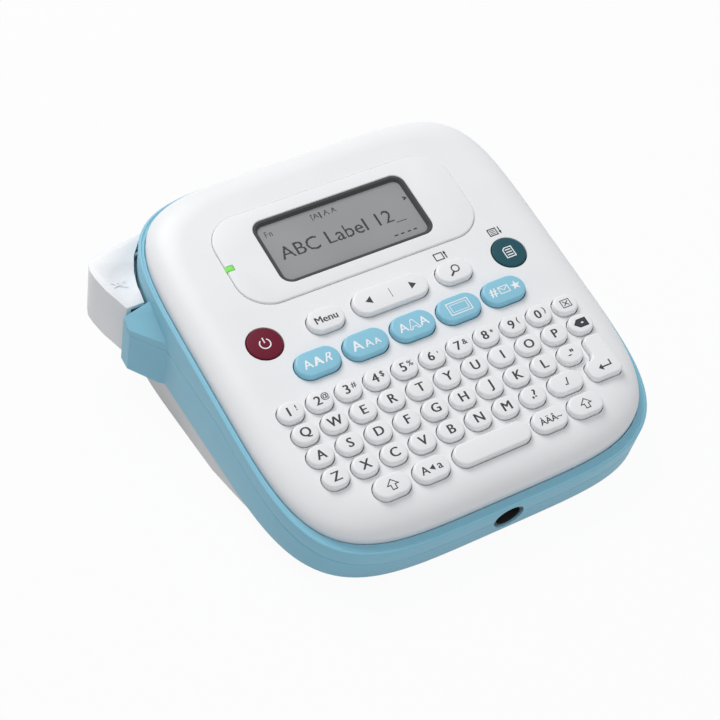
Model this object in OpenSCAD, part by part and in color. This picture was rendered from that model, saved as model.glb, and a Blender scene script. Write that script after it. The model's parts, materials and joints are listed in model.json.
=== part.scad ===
// Desktop label maker with a sloping keyboard deck, a tape cassette, a battery bay and a hand-worked
// tape cutter. The machine stands on a shallow base tray, hooked to it along the front edge.

/* [Body] */
// Width of the coloured case
body_w = 143.6; // [136:0.2:165]
// Length of the coloured case along the deck
body_l = 157.6; // [150:0.2:185]
// Slope of the deck above the table
deck_tilt = 16.8; // [14:0.1:19]
// Height of the deck's middle above the table
deck_height = 48.3; // [46:0.1:58]
// Squareness of the front corners, as the power of the outline's curve
front_square = 4.5; // [3.5:0.1:6]
// Squareness of the rear corners
rear_square = 5.5; // [4:0.1:7]
// Wall of the cases
wall = 2.2; // [1.8:0.1:3]
// Depth of the parting line below the deck, at the front
part_front = 15.1; // [14.5:0.1:18]
// Depth of the parting line below the deck, at the tape exit
part_rear = 23; // [22:0.1:24]
// Depth of the lower case's edge below the deck, at the front
edge_front = 23.4; // [22.5:0.1:26]
// Angle between the lower case's edge and the deck
edge_slope = 10.5; // [9:0.1:11.5]

/* [Top cover] */
// How far the case stands out past the cover at the sides and the rear
rim_side = 2.1; // [1.5:0.1:3]
// How far the case stands out past the cover at the front
rim_front = 4; // [3:0.1:5]
// Thickness of the cover
cover_t = 2; // [1.6:0.1:2.4]
// Depth of the cover's edge below the deck
cover_drop = 7.3; // [6:0.1:8]
// Width of the rolled edge
roll_w = 11; // [9:0.5:12]
// Gap round the cover
cover_gap = 0.4; // [0.2:0.1:0.6]

/* [Display] */
// Width of the raised bezel
bezel_w = 94; // [86:0.5:98]
// Length of the bezel along the deck
bezel_l = 39; // [36:0.5:42]
// Corner radius of the bezel
bezel_r = 12; // [8:0.5:14]
// How far the bezel stands above the deck
bezel_rise = 0.6; // [0.3:0.1:1]
// Distance of the bezel's middle behind the middle of the deck
bezel_y = 37.2; // [34:0.1:39]
// Width of the window
window_w = 61; // [54:0.5:64]
// Length of the window along the deck
window_l = 28; // [25:0.5:30]
// Corner radius of the window
window_r = 4.5; // [3:0.5:6]
// Width of the dark border of the window
window_rim = 2; // [1.5:0.1:3]

/* [Keys] */
// Distance between neighbouring keys
key_pitch = 10.8; // [10.7:0.05:11.3]
// Distance between rows
row_pitch = 9.1; // [8.9:0.05:9.6]
// Width of a character key
key_w = 9.2; // [8.4:0.1:9.5]
// Length of a character key along the deck
key_l = 7.6; // [7:0.1:7.8]
// How far the keys stand above the deck
key_rise = 2.1; // [1.6:0.1:2.6]
// Travel of a key
key_travel = 1.2; // [0.8:0.1:1.3]
// Gap between a key and its hole
key_gap = 0.35; // [0.25:0.05:0.5]
// Width of the collar that keeps a key under the cover
key_collar = 0.5; // [0.4:0.05:0.6]
// Width of an oblong function key
pad_w = 16.4; // [14:0.1:17]
// Length of an oblong function key along the deck
pad_l = 9.9; // [8:0.1:10.5]
// Diameter of the power and print keys
round_d = 12.4; // [10:0.1:13]

/* [Tape] */
// Width of the label tape
tape_w = 12; // [9:0.5:12]
// Depth of the tape's centre line below the deck
tape_depth = 32; // [31:0.1:33]
// Distance of the tape's path behind the middle of the deck
tape_y = 45.3; // [44.8:0.1:45.8]
// Width of the cassette
cassette_w = 58; // [52:0.5:60]
// Length of the cassette along the deck
cassette_l = 44; // [40:0.5:44]
// Height of the cassette
cassette_h = 20; // [18:0.5:20]
// Radius of the full label roll
label_r = 16; // [12:0.5:16.5]
// Radius of the ribbon reels
ribbon_r = 6; // [4:0.5:6.5]
// Radius of the platen roller
platen_r = 4; // [3.5:0.1:4.2]

/* [Gears] */
// Pitch diameter of a gear for each of its teeth
tooth_module = 0.5; // [0.48:0.01:0.5]
// Teeth of the motor pinion
pinion_teeth = 12; // [12:1:14]
// Teeth of the transfer gear
transfer_teeth = 40; // [38:1:42]
// Teeth of the ribbon rewind gear
rewind_teeth = 36; // [34:1:36]
// Teeth of the idler gear
idler_teeth = 36; // [34:1:36]
// Teeth of the platen gear
platen_teeth = 20; // [18:1:20]
// Thickness of the gears
gear_t = 3; // [2:0.1:3]

/* [Cutter] */
// How far the lever reaches out past the case
lever_reach = 12; // [9:0.5:13]
// Depth of the lever's top below the deck
lever_top = 17; // [16:0.1:18]
// Height of the lever
lever_h = 27; // [24:0.5:28]
// Thickness of the lever's skin
lever_t = 1.8; // [1.4:0.1:2]
// Gap between the tape exit block and the lever
exit_gap = 2; // [1.8:0.1:2.6]
// Radius of the lever's pin
lever_pin_r = 1.5; // [1.2:0.1:1.8]
// Running clearance round pins and shafts
run_gap = 0.05; // [0.02:0.01:0.09]

/* [Power] */
// Diameter of a battery cell
cell_d = 10.5; // [10:0.1:10.6]
// Length of a battery cell
cell_l = 44.5; // [43:0.1:45]
// Number of cells
cell_count = 6; // [4:1:6]
// Distance between cells
cell_pitch = 11.2; // [11:0.1:11.4]
// Radius of the power socket's mouth
jack_r = 4.6; // [3.5:0.1:4.8]
// Depth of the power socket's mouth
jack_mouth = 5; // [4:0.5:6]

/* [Hidden] */
$fn = 48;
eps = 0.01;
far = 200;
row_names = ["number_keys", "upper_letter_keys", "middle_letter_keys", "lower_letter_keys"];
style_names = ["font_key", "size_key", "style_key", "frame_key", "symbol_key"];

white = [0.93, 0.93, 0.93];
pale_grey = [0.86, 0.86, 0.85];
blue = [0.55, 0.75, 0.83];
key_blue = [0.58, 0.81, 0.90];
dark = [0.16, 0.16, 0.17];
steel = [0.70, 0.71, 0.73];

// The deck's frame: x across, y up the slope, w square to the deck and 0 on its surface.
half_w = body_w / 2;
half_l = body_l / 2;
body_x = lever_reach / 2;
case_y = (rim_side - rim_front) / 2;
front_y = case_y - half_l;
rear_y = case_y + half_l;
// Depth of the whole object on the table, from the rim at the front to the upright rear wall
front_reach = -front_y * cos(deck_tilt) - rim_top() * -sin(deck_tilt);
rear_reach = rear_y * cos(deck_tilt) + part_rear * sin(deck_tilt);
deck_y = (front_reach - rear_reach) / 2;

function rim_top() = -(cover_drop + 1);
function to_deck(p) = [
    (p[0] - deck_y) * cos(deck_tilt) + (p[1] - deck_height) * sin(deck_tilt),
    -(p[0] - deck_y) * sin(deck_tilt) + (p[1] - deck_height) * cos(deck_tilt)];
// Depth of the lower case's edge at a place along the deck
function edge_w(y) = -edge_front - (y - front_y) * tan(edge_slope);
// Rear wall, upright on the table: its place along the deck at a depth
function rear_at(w) = min(far, (rear_reach + w * sin(deck_tilt)) / cos(deck_tilt));

// Points of a closed curve between an ellipse and a rectangle, squarer at the rear than at the front
function bowed(a, b, step = 3.75) = [for (t = [0:step:360 - step])
    let (n = sin(t) < 0 ? front_square : rear_square,
         r = 1 / pow(pow(abs(cos(t)) / a, n) + pow(abs(sin(t)) / b, n), 1 / n))
    [r * cos(t), r * sin(t)]];
// Points of a rectangle with round corners
function rounded(w, l, r, steps = 6) = [for (c = [0:3], i = [0:steps])
    let (a = 90 * c + 90 * i / steps, sx = c == 0 || c == 3 ? 1 : -1, sy = c < 2 ? 1 : -1)
    [sx * (w / 2 - r) + r * cos(a), sy * (l / 2 - r) + r * sin(a)]];
function pill(w, l) = rounded(w, l, min(w, l) / 2 - 0.05, 4);

module on_deck() {
    translate([body_x, deck_y, deck_height]) rotate([deck_tilt, 0, 0]) children();
}
// A prism square to the deck between two heights
module block_of(pts, low, high) {
    translate([0, 0, low]) linear_extrude(high - low) polygon(pts);
}
module case_prism(inset, low, high) {
    translate([0, case_y, 0]) block_of(bowed(half_w - inset, half_l - inset), low, high);
}
module cover_prism(grow, low, high) {
    block_of(bowed(half_w - rim_side + grow, half_l - (rim_side + rim_front) / 2 + grow), low, high);
}
// A side view in y and w, drawn across the whole width
module across(pts, left = -far, right = far) {
    translate([left, 0, 0]) rotate([90, 0, 90]) linear_extrude(right - left) polygon(pts);
}
module box(low, high) {
    translate(low) cube(high - low);
}
module post(x, y, r, low, high) {
    translate([x, y, low]) cylinder(r = r, h = high - low);
}

// --- Deck layout ---------------------------------------------------------------------------------
number_y = -22.9;
key_rows = [
    // first key's x, y, how many keys
    [-53.6, number_y, 10],
    [-53, number_y - row_pitch, 10],
    [-52.4, number_y - 2 * row_pitch, 10],
    [-51.7, number_y - 3 * row_pitch, 8]];
last_row_y = number_y - 4 * row_pitch - 1;
command_y = 4.9;
style_y = -9.2;
style_pitch = 18.4;
round_x = 48.6;
menu_x = 25.5;
cursor_w = 29;
command_w = 13.6;
command_l = 8.9;
style_x = [for (i = [-2:2]) i * style_pitch + 0.6];
wide_w = 13;
wide_l = 8.2;
enter_x = 54.4;
enter_y = number_y - 2 * row_pitch;
// Single keys: name, x, y, width, length
function single(name) =
    name == "menu_key" ? [-menu_x, command_y, command_w, command_l] :
    name == "cursor_key" ? [0, command_y + 0.4, cursor_w, pad_l] :
    name == "search_key" ? [menu_x, command_y, command_w, command_l] :
    name == "clear_key" ? [key_rows[0][0] + 10 * key_pitch, key_rows[0][1], key_w, key_l] :
    name == "backspace_key" ? [key_rows[1][0] + 10 * key_pitch, key_rows[1][1], key_w, key_l] :
    name == "period_key" ? [key_rows[3][0] + 8.22 * key_pitch, key_rows[3][1], wide_w, wide_l - 0.4] :
    name == "left_shift_key" ? [-36.6, last_row_y, wide_w, wide_l] :
    name == "caps_key" ? [-21.8, last_row_y, wide_w, wide_l] :
    name == "space_key" ? [1.5, last_row_y, 29.1, wide_l] :
    name == "accent_key" ? [24.2, last_row_y, wide_w, wide_l] :
    [38.6, last_row_y, wide_w, wide_l];
single_names = ["menu_key", "cursor_key", "search_key", "clear_key", "backspace_key", "period_key",
    "left_shift_key", "caps_key", "space_key", "accent_key", "right_shift_key"];
// Outline of the enter key, a foot with a riser at its right
function enter_points(g = 0) = let (w = 7.6, riser = 16.8, foot = 12.6, h = 7.8) [
    for (q = [[foot / 2 - w, h / 2, 0], [foot / 2 - w, riser - h / 2, 1], [foot / 2, riser - h / 2, 2],
              [foot / 2, -h / 2, 3], [-foot / 2, -h / 2, 4], [-foot / 2, h / 2, 5]])
        [enter_x - 1.6 + q[0] + (q[2] == 2 || q[2] == 3 ? g : -g),
         enter_y - row_pitch + q[1] + (q[2] == 3 || q[2] == 4 ? -g : g)]];

// --- Keys ----------------------------------------------------------------------------------------
collar_top = -cover_t - 0.5;
collar_t = 0.9;
// A key: its cap through the cover and its collar below it
module cap(pts, wide) {
    block_of(pts, collar_top - eps, key_rise);
    block_of(wide, collar_top - collar_t, collar_top);
}
module pill_key(x, y, w, l) {
    translate([x, y, 0]) cap(pill(w, l), pill(w + 2 * key_collar, l + 2 * key_collar));
}
module round_key(x, y, d) {
    post(x, y, d / 2, collar_top - eps, 0.4);
    post(x, y, d / 2 + key_collar, collar_top - collar_t, collar_top);
}
module key_row(r) {
    for (i = [0:key_rows[r][2] - 1])
        pill_key(key_rows[r][0] + i * key_pitch, key_rows[r][1], key_w, key_l);
}
module single_key(name) {
    k = single(name);
    pill_key(k[0], k[1], k[2], k[3]);
}
module enter_key() {
    cap(enter_points(), enter_points(key_collar));
}
module style_key(i) {
    pill_key(style_x[i], style_y, pad_w, pad_l);
}
// Holes for all the keys
hole_low = -cover_t - 1;
hole_high = 1;
module key_holes() {
    g = 2 * key_gap;
    for (r = [0:3], i = [0:key_rows[r][2] - 1])
        translate([key_rows[r][0] + i * key_pitch, key_rows[r][1], 0])
            block_of(pill(key_w + g, key_l + g), hole_low, hole_high);
    for (n = single_names)
        translate([single(n)[0], single(n)[1], 0])
            block_of(pill(single(n)[2] + g, single(n)[3] + g), hole_low, hole_high);
    for (x = style_x) translate([x, style_y, 0]) block_of(pill(pad_w + g, pad_l + g), hole_low, hole_high);
    for (s = [-1, 1]) post(s * round_x, command_y, round_d / 2 + key_gap, hole_low, hole_high);
    block_of(enter_points(key_gap), hole_low, hole_high);
}

// --- Cover and display ---------------------------------------------------------------------------
skirt_low = -cover_drop - 2.1;
floor_top = skirt_low - 0.1;
floor_t = 1.5;
roll_steps = 5;
// Half of the cover's section, rolled over at the edge: half its width, and how far inside the skin
function rolled(half, inset) = let (
    arc = [for (i = [0:roll_steps]) let (t = 90 * i / roll_steps)
        [half - inset - roll_w * (1 - cos(t)), (cover_drop - 1) * (sin(t) - 1) - inset]])
    concat([[half - inset, -far]], arc, [for (i = [roll_steps:-1:0]) [-arc[i][0], arc[i][1]]],
           [[inset - half, -far]]);
// The cover's outer form, or the room inside it
module cover_form(inset, low) {
    intersection() {
        cover_prism(-inset, low, 1);
        across(rolled(half_l - (rim_side + rim_front) / 2, inset));
        rotate([0, 0, 90]) across(rolled(half_w - rim_side, inset));
    }
}
module top_cover() {
    color(white) difference() {
        cover_form(0, skirt_low);
        cover_form(cover_t, skirt_low - 1);
        key_holes();
        translate([0, bezel_y, 0])
            block_of(rounded(bezel_w - 3, bezel_l - 3, bezel_r - 1.5), -far, far);
        translate([0, bezel_y, 0])
            block_of(rounded(bezel_w + 0.4, bezel_l + 0.4, bezel_r), -0.8, far);
        lamp_hole();
    }
}
module lamp_hole() {
    box([lamp_x - 1.6, lamp_y - 1.1, -far], [lamp_x + 1.6, lamp_y + 1.1, far]);
}
lamp_x = -bezel_w / 2 + 1.2;
lamp_y = bezel_y - 0.5;
window_y = bezel_y;
window_x = -0.8;
module display_bezel() {
    color(white) difference() {
        translate([0, bezel_y, 0]) union() {
            block_of(rounded(bezel_w, bezel_l, bezel_r), -0.8 + 0.05, bezel_rise);
            block_of(rounded(bezel_w - 3.6, bezel_l - 3.6, bezel_r - 1.8), -cover_t, -0.7);
        }
        translate([window_x, window_y, 0]) block_of(rounded(window_w, window_l, window_r), -far, far);
        lamp_hole();
    }
}
module display_window() {
    color([0.25, 0.25, 0.26]) translate([window_x, window_y, 0])
        block_of(rounded(window_w - 0.3, window_l - 0.3, window_r), -1.6, -0.4);
}
module status_lamp() {
    color([0.45, 0.85, 0.3]) box([lamp_x - 1.5, lamp_y - 1, -cover_t], [lamp_x + 1.5, lamp_y + 1, bezel_rise]);
}
board_top = floor_top + 3.1;
board_t = 1.6;
module lcd_module() {
    color([0.45, 0.5, 0.45]) translate([window_x, window_y, 0]) union() {
        block_of(rounded(window_w + 4, window_l + 4, 1), board_top, -2.5);
        block_of(rounded(window_w - 4, window_l - 4, 1), -2.6, -1.9);
    }
}
mat_top = board_top + 0.9;
module keypad_mat() {
    color([0.8, 0.8, 0.8]) difference() {
        block_of(rounded(124, 80, 8), board_top, mat_top);
        box([-far, 12, -far], [far, far, far]);
        for (p = board_screws) post(p[0], p[1], 3.2, -far, far);
    }
}
board_screws = [for (x = [-57.5, 57.5], y = [-50, 12]) [x, y]];
module main_board() {
    color([0.1, 0.4, 0.25]) difference() {
        translate([0, 2, 0]) block_of(rounded(126, 124, 10), board_top - board_t, board_top);
        for (p = board_screws) post(p[0], p[1], 1.2, -far, far);
    }
}
// Screws that hold the board on the upper case's pillars
module case_screws() {
    color(steel) for (p = board_screws) {
        post(p[0], p[1], 2, board_top, board_top + 1.2);
        post(p[0], p[1], 1, floor_top - 1, board_top + eps);
    }
}

// --- Cases ---------------------------------------------------------------------------------------
part_bend = -9;
exit_root_y = 26;
function parting_points(top, low) = [
    [-far, top], [-far, -part_front + low], [part_bend, -part_front + low],
    [exit_root_y, -part_rear + low], [far, -part_rear + low], [far, top]];
jack_w = -part_front;
nose_r = jack_r + 0.8;
jack_body = 11.4;
module jack_space(grow) {
    translate([0, front_y - 5, jack_w]) rotate([-90, 0, 0]) cylinder(r = nose_r + grow, h = 12);
    box([-jack_body / 2 - grow, front_y + 5 - grow, jack_w - jack_body / 2 - grow],
        [jack_body / 2 + grow, front_y + 21 + grow, jack_w + jack_body / 2 + grow]);
}
ceiling = -19.5;
ceiling_t = 1.5;
// Tape exit block: a wedge on the left wall, in front of the cutter
exit_x = -half_w - lever_reach + 3;
exit_low = -lever_top - lever_h + 0.3;
exit_rear = tape_y - exit_gap / 2;
module exit_wedge(low, high) {
    block_of([[-half_w + 1.2, exit_root_y], [exit_x, exit_rear - 5], [exit_x, exit_rear],
              [-half_w + 3.5, exit_rear], [-half_w + 3.5, exit_root_y]], low, high);
}
module exit_block() {
    difference() {
        exit_wedge(exit_low, -lever_top + 2.5);
        // The top falls away from the wall and towards the front
        translate([-half_w, exit_rear, -lever_top + 2.5]) rotate([14, -24, 0])
            box([-30, -40, 0], [4, 20, 30]);
        // Groove that the blade enters
        box([blade_x - 0.9, exit_rear - 2.6, blade_low - 0.6], [blade_x + 0.9, far, blade_high + 0.6]);
    }
}
// Opening in the left wall for the tape
module tape_slot() {
    box([-half_w - 1, exit_rear, tape_low - 1.5], [-half_w + 12, exit_rear + exit_gap + 1.2, tape_high + 1.5]);
}
pin_y = 68;
pin_w = -lever_top - 3.9;
module upper_case() {
    color(blue) difference() {
        union() {
            intersection() {
                case_prism(0, -part_rear - 1, rim_top());
                across(parting_points(0, 0.05));
            }
            intersection() {
                exit_block();
                across(parting_points(0, 0.05));
            }
        }
        difference() {
            case_prism(wall, -far, floor_top - floor_t);
            // Boss that holds the lever's pin
            post_along_x(pin_y, pin_w, lever_pin_r + 2, -half_w, -half_w + 19);
        }
        cover_prism(cover_gap, floor_top, far);
        tape_slot();
        jack_space(0.3);
        post_along_x(pin_y, pin_w, lever_pin_r, -far, -half_w + 17);
        for (p = board_screws) post(p[0], p[1], 1, floor_top - 1.2, far);
    }
    color(blue) difference() {
        for (p = board_screws) post(p[0], p[1], 2.8, floor_top - eps, board_top - board_t);
        for (p = board_screws) post(p[0], p[1], 1, floor_top - 1.2, far);
    }
}
module post_along_x(y, w, r, left, right) {
    translate([left, y, w]) rotate([0, 90, 0]) cylinder(r = r, h = right - left);
}
bay_front = -14;
lip = wall + 0.4;
lip_t = 1.6;
// Side view of what lies in front of the upright rear wall
function before_rear(inset) = [[-far, -far], [rear_at(-far) - inset, -far], [rear_at(0) - inset, 0], [-far, 0]];
// Side view of what lies above the lower case's edge
function above_edge(up) = [[-far, edge_w(-far) + up], [far, edge_w(far) + up], [far, far], [-far, far]];
// Partition between the tape bay and the cells, and the wall behind the cassette
divider_x = 14;
divider_t = 1.5;
module lower_case() {
    color(blue) difference() {
        intersection() {
            union() {
                intersection() {
                    case_prism(0, -far / 2, -part_front);
                    across(parting_points(-far, -0.05));
                }
                intersection() {
                    case_prism(lip, -far / 2, ceiling);
                    across([[bay_front, -far], [far, -far], [far, far], [bay_front, far]]);
                }
            }
            across(before_rear(0));
            across(above_edge(0));
        }
        // Room below the deck at the front
        intersection() {
            case_prism(lip + lip_t, -far / 2, far);
            across([[-far, edge_w(-far) + 2], [bay_front, edge_w(bay_front) + 2], [bay_front, far],
                    [-far, far]]);
        }
        // Bays, open below
        difference() {
            intersection() {
                case_prism(lip + lip_t, -far / 2, ceiling - ceiling_t);
                across([[bay_front + lip_t, -far], [far, -far], [far, far], [bay_front + lip_t, far]]);
                across(before_rear(2));
            }
            box([divider_x, bay_front, -far], [divider_x + divider_t, far, far]);
            box([-35, wall_y, -far], [divider_x + 1, wall_y + divider_t, far]);
        }
        tape_slot();
        jack_space(0.3);
        exit_lip_cut();
        for (g = [platen_at, rewind_at]) post(g[0], g[1], 3.2, ceiling - 5, far);
        post(motor_at[0], motor_at[1], 2.6, ceiling - 5, far);
        post(holder_at[0], holder_at[1], holder_pin_r, ceiling - 5, far);
    }
    color(blue) intersection() {
        union() {
            exit_block();
            guide_rail();
        }
        across(parting_points(-far, -0.05));
        across(above_edge(0));
    }
}
// Slack round the lever's boss, which comes down from the upper case
module exit_lip_cut() {
    post_along_x(pin_y, pin_w, lever_pin_r + 2.4, -far, -half_w + 19.5);
}
module guide_rail() {
    box([-half_w - 5, tape_y + 3.3, guide_w - 1.5], [-half_w + 4, 62, guide_w]);
}
wall_y = tape_y + 3;

// --- Base tray -----------------------------------------------------------------------------------
tray_inset = 1;
tray_t = 1.6;
tray_low = 0.8;
arch_y = -25;
deep_y = 2;
seat_gap = 0.3;
arch_local = to_deck([arch_y, 0])[0];
// Side view of the tray: a thin front plate, an arch, and a deep rear part flat on the table
function tray_side() = [
    [-far, edge_w(-far) - seat_gap], [-far, edge_w(-far) - seat_gap - tray_t],
    [arch_local, edge_w(arch_local) - seat_gap - tray_t],
    to_deck([deep_y, tray_low]), to_deck([far, tray_low]), [far, edge_w(far) - seat_gap]];
function tray_room() = [
    [arch_local + 2, 0], [arch_local + 2, edge_w(arch_local) - seat_gap - tray_t + 0.8],
    to_deck([deep_y + 1, tray_low + tray_t]), to_deck([far, tray_low + tray_t]), [far, 0]];
foot_r = 5;
foot_places = [[-48, -59], [48, -59], [-50, 20], [50, 20], [-46, 60], [46, 60]];
// A foot's place on the table, in the object's own frame
module feet(r, low, high) {
    for (p = foot_places)
        translate([body_x + p[0], p[1], low]) cylinder(r = r, h = high - low);
}
foot_t = 1.4;
module bottom_cover() {
    color(pale_grey) difference() {
        union() {
            on_deck() difference() {
                intersection() {
                    case_prism(tray_inset, -far / 2, 0);
                    across(tray_side());
                    across(before_rear(tray_inset));
                }
                intersection() {
                    case_prism(tray_inset + 2, -far / 2, 0);
                    across(tray_room());
                    across(before_rear(tray_inset + 2));
                }
            }
            // Pillars that carry the front feet
            intersection() {
                feet(foot_r + 1.2, foot_t - 0.6, 6);
                on_deck() across([[-far, edge_w(-far) - seat_gap], [0, edge_w(0) - seat_gap],
                    [0, -far], [-far, -far]]);
            }
        }
        feet(foot_r + 0.1, -1, foot_t);
    }
}
module rubber_feet() {
    color(dark) feet(foot_r, 0, foot_t);
}

// --- Cassette ------------------------------------------------------------------------------------
cassette_top = ceiling - ceiling_t - 0.3;
cassette_low = cassette_top - cassette_h;
cassette_left = -49;
cassette_front = tape_y + 1.7 - cassette_l;
case_t = 1.2;
tape_low = -tape_depth - tape_w / 2;
tape_high = -tape_depth + tape_w / 2;
reel_low = cassette_low + case_t + 0.4;
reel_high = cassette_top - case_t - 0.4;
roll_x = cassette_left + cassette_w - case_t - label_r - 1.2;
roll_y = tape_y - label_r - 1.2;
supply_x = cassette_left + case_t + ribbon_r + 2;
supply_y = cassette_front + case_t + ribbon_r + 1;
module cassette_case() {
    color(pale_grey) difference() {
        box([cassette_left, cassette_front, cassette_low],
            [cassette_left + cassette_w, cassette_front + cassette_l, cassette_top]);
        box([cassette_left + case_t, cassette_front + case_t, cassette_low + case_t],
            [cassette_left + cassette_w - case_t, cassette_front + cassette_l - case_t,
             cassette_top - case_t]);
        // Mouth for the tape, and the spindle holes
        box([cassette_left - 1, tape_y - 1.2, tape_low - 0.5],
            [cassette_left + 2, tape_y + 0.6, tape_high + 0.5]);
        post(rewind_at[0], rewind_at[1], spindle_r + 0.6, -far, far);
    }
}
module label_roll() {
    color(white) difference() {
        post(roll_x, roll_y, label_r, tape_low, tape_high);
        post(roll_x, roll_y, 5, -far, far);
    }
    color(pale_grey) difference() {
        union() {
            post(roll_x, roll_y, 5 - eps, reel_low, reel_high);
            post(roll_x, roll_y, 6, reel_low, tape_low);
            post(roll_x, roll_y, 6, tape_high, reel_high);
        }
        post(roll_x, roll_y, 3.6, -far, far);
    }
}
module ribbon_reel(x, y, bore) {
    difference() {
        union() {
            post(x, y, ribbon_r, tape_low, tape_high);
            post(x, y, ribbon_r - 2, reel_low, reel_high);
        }
        post(x, y, bore, -far, far);
    }
}
module ribbon_supply() {
    color(dark) ribbon_reel(supply_x, supply_y, 2);
}
module ribbon_takeup() {
    color(dark) ribbon_reel(rewind_at[0], rewind_at[1], spindle_r + run_gap);
}
tape_t = 0.2;
blade_x = -half_w - 2.6;
module label_tape() {
    color(white) box([blade_x + 0.6, tape_y - tape_t / 2, tape_low],
        [cassette_left + case_t + 1, tape_y + tape_t / 2, tape_high]);
}

// --- Feed and its gears --------------------------------------------------------------------------
function pitch_r(teeth) = teeth * tooth_module / 2;
function beside(p, d, angle) = [p[0] + d * cos(angle), p[1] + d * sin(angle)];
idler_angle = -90;
rewind_angle = -24;
transfer_angle = 65;
motor_angle = 62;
platen_at = [-57, tape_y + tape_t / 2 + 0.2 + platen_r];
idler_at = beside(platen_at, pitch_r(platen_teeth) + pitch_r(idler_teeth), idler_angle);
rewind_at = beside(idler_at, pitch_r(idler_teeth) + pitch_r(rewind_teeth), rewind_angle);
transfer_at = beside(rewind_at, pitch_r(rewind_teeth) + pitch_r(transfer_teeth), transfer_angle);
motor_at = beside(transfer_at, pitch_r(transfer_teeth) + pitch_r(pinion_teeth), motor_angle);
// Angle of a gear's tooth, so that it meshes with a neighbour at a bearing
function mesh(bearing, phase, teeth, next) =
    bearing + 180 + (bearing - phase) * teeth / next + 180 / next;
platen_phase = 0;
idler_phase = mesh(idler_angle, platen_phase, platen_teeth, idler_teeth);
rewind_phase = mesh(rewind_angle, idler_phase, idler_teeth, rewind_teeth);
transfer_phase = mesh(transfer_angle, rewind_phase, rewind_teeth, transfer_teeth);
pinion_phase = mesh(motor_angle, transfer_phase, transfer_teeth, pinion_teeth);
plate_low = ceiling;
plate_t = 1;
gear_low = ceiling + plate_t + 0.4;
function gear_points(teeth) = let (p = pitch_r(teeth), m = tooth_module, s = 360 / teeth)
    [for (k = [0:teeth - 1], q = [[-0.30, -1.2], [-0.19, 0], [-0.09, 0.85], [0.09, 0.85], [0.19, 0],
        [0.30, -1.2]]) let (r = p + q[1] * m, a = (k + q[0]) * s) [r * cos(a), r * sin(a)]];
module gear(at, teeth, phase, bore) {
    translate([at[0], at[1], 0]) rotate([0, 0, phase]) difference() {
        block_of(gear_points(teeth), gear_low, gear_low + gear_t);
        post(0, 0, bore, -far, far);
    }
}
stud_r = 1;
spindle_r = 1.6;
shaft_r = 1.2;
module idler_gear() {
    color("ivory") gear(idler_at, idler_teeth, idler_phase, stud_r + run_gap);
}
module transfer_gear() {
    color("ivory") gear(transfer_at, transfer_teeth, transfer_phase, stud_r + run_gap);
}
// The rewind gear and the spindle that turns the ribbon reel
module rewind_gear() {
    color("ivory") union() {
        gear(rewind_at, rewind_teeth, rewind_phase, spindle_r - 0.4);
        post(rewind_at[0], rewind_at[1], spindle_r, reel_low, gear_low + gear_t);
    }
}
module platen_gear() {
    color("ivory") gear(platen_at, platen_teeth, platen_phase, shaft_r);
}
// The pinion on the motor's shaft
module motor_pinion() {
    color("goldenrod") union() {
        gear(motor_at, pinion_teeth, pinion_phase, motor_shaft_r);
        post(motor_at[0], motor_at[1], motor_shaft_r, ceiling - motor_l + 4, gear_low + gear_t);
    }
}
motor_shaft_r = 0.75;
motor_r = 6;
motor_l = 20;
module drive_motor() {
    color(steel) difference() {
        union() {
            post(motor_at[0], motor_at[1], motor_r, ceiling - ceiling_t - motor_l, ceiling - ceiling_t);
            post(motor_at[0], motor_at[1], 2, ceiling - ceiling_t - eps, ceiling);
        }
        post(motor_at[0], motor_at[1], motor_shaft_r + run_gap, -far, far);
    }
}
module gear_plate() {
    color(steel) difference() {
        union() {
            box([-64, 16, plate_low], [-16, 58, plate_low + plate_t]);
            for (g = [idler_at, transfer_at]) post(g[0], g[1], stud_r, plate_low, gear_low + gear_t + 0.6);
        }
        post(platen_at[0], platen_at[1], 4.2, -far, far);
        post(rewind_at[0], rewind_at[1], spindle_r + run_gap, -far, far);
        post(motor_at[0], motor_at[1], 2.3, -far, far);
        post(holder_at[0], holder_at[1], holder_pin_r + run_gap, -far, far);
    }
}
platen_low = tape_low - 1;
platen_high = tape_high + 1;
module platen_roller() {
    color(dark) difference() {
        post(platen_at[0], platen_at[1], platen_r, platen_low, platen_high);
        post(platen_at[0], platen_at[1], shaft_r, -far, far);
    }
    color(steel) post(platen_at[0], platen_at[1], shaft_r, holder_low + eps, gear_low + gear_t);
}
holder_low = cassette_low + 0.5;
holder_high = ceiling - ceiling_t - 0.4;
holder_t = 1.6;
holder_pin_r = 1.5;
holder_at = [platen_at[0] + 16.5, platen_at[1] + 3];
// Swinging bracket that carries the platen roller
module roller_holder() {
    color(pale_grey) difference() {
        union() {
            for (low = [holder_low, platen_high + 0.3]) {
                arm(low, low + holder_t);
            }
            post(holder_at[0], holder_at[1], holder_pin_r + 1.3, holder_low, platen_high + 1.9);
        }
        post(holder_at[0], holder_at[1], holder_pin_r + run_gap, -far, far);
        post(platen_at[0], platen_at[1], shaft_r + run_gap, -far, far);
    }
}
module arm(low, high) {
    block_of([platen_at + [-2.6, -2.2], platen_at + [-2.6, 2.8], holder_at + [0, 2.8],
              holder_at + [2.8, 0], holder_at + [0, -2.8]], low, high);
}
module holder_pin() {
    color(steel) post(holder_at[0], holder_at[1], holder_pin_r, holder_low - 1, plate_low + plate_t);
}
module print_head() {
    color(steel) box([-61, tape_y - 1.6, platen_low], [-53, tape_y - tape_t / 2 - 0.1, ceiling - ceiling_t]);
    color(dark) box([-60.5, tape_y - 5, platen_low + 1], [-53.5, tape_y - 1.6 + eps, ceiling - ceiling_t]);
}

// --- Cutter --------------------------------------------------------------------------------------
blade_low = tape_low - 1;
blade_high = tape_high + 1;
blade_rest_y = tape_y + 1.3;
blade_t = 0.5;
guide_w = blade_low - 2.5;
lever_left = -half_w - lever_reach;
lever_front = exit_rear + exit_gap;
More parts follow.
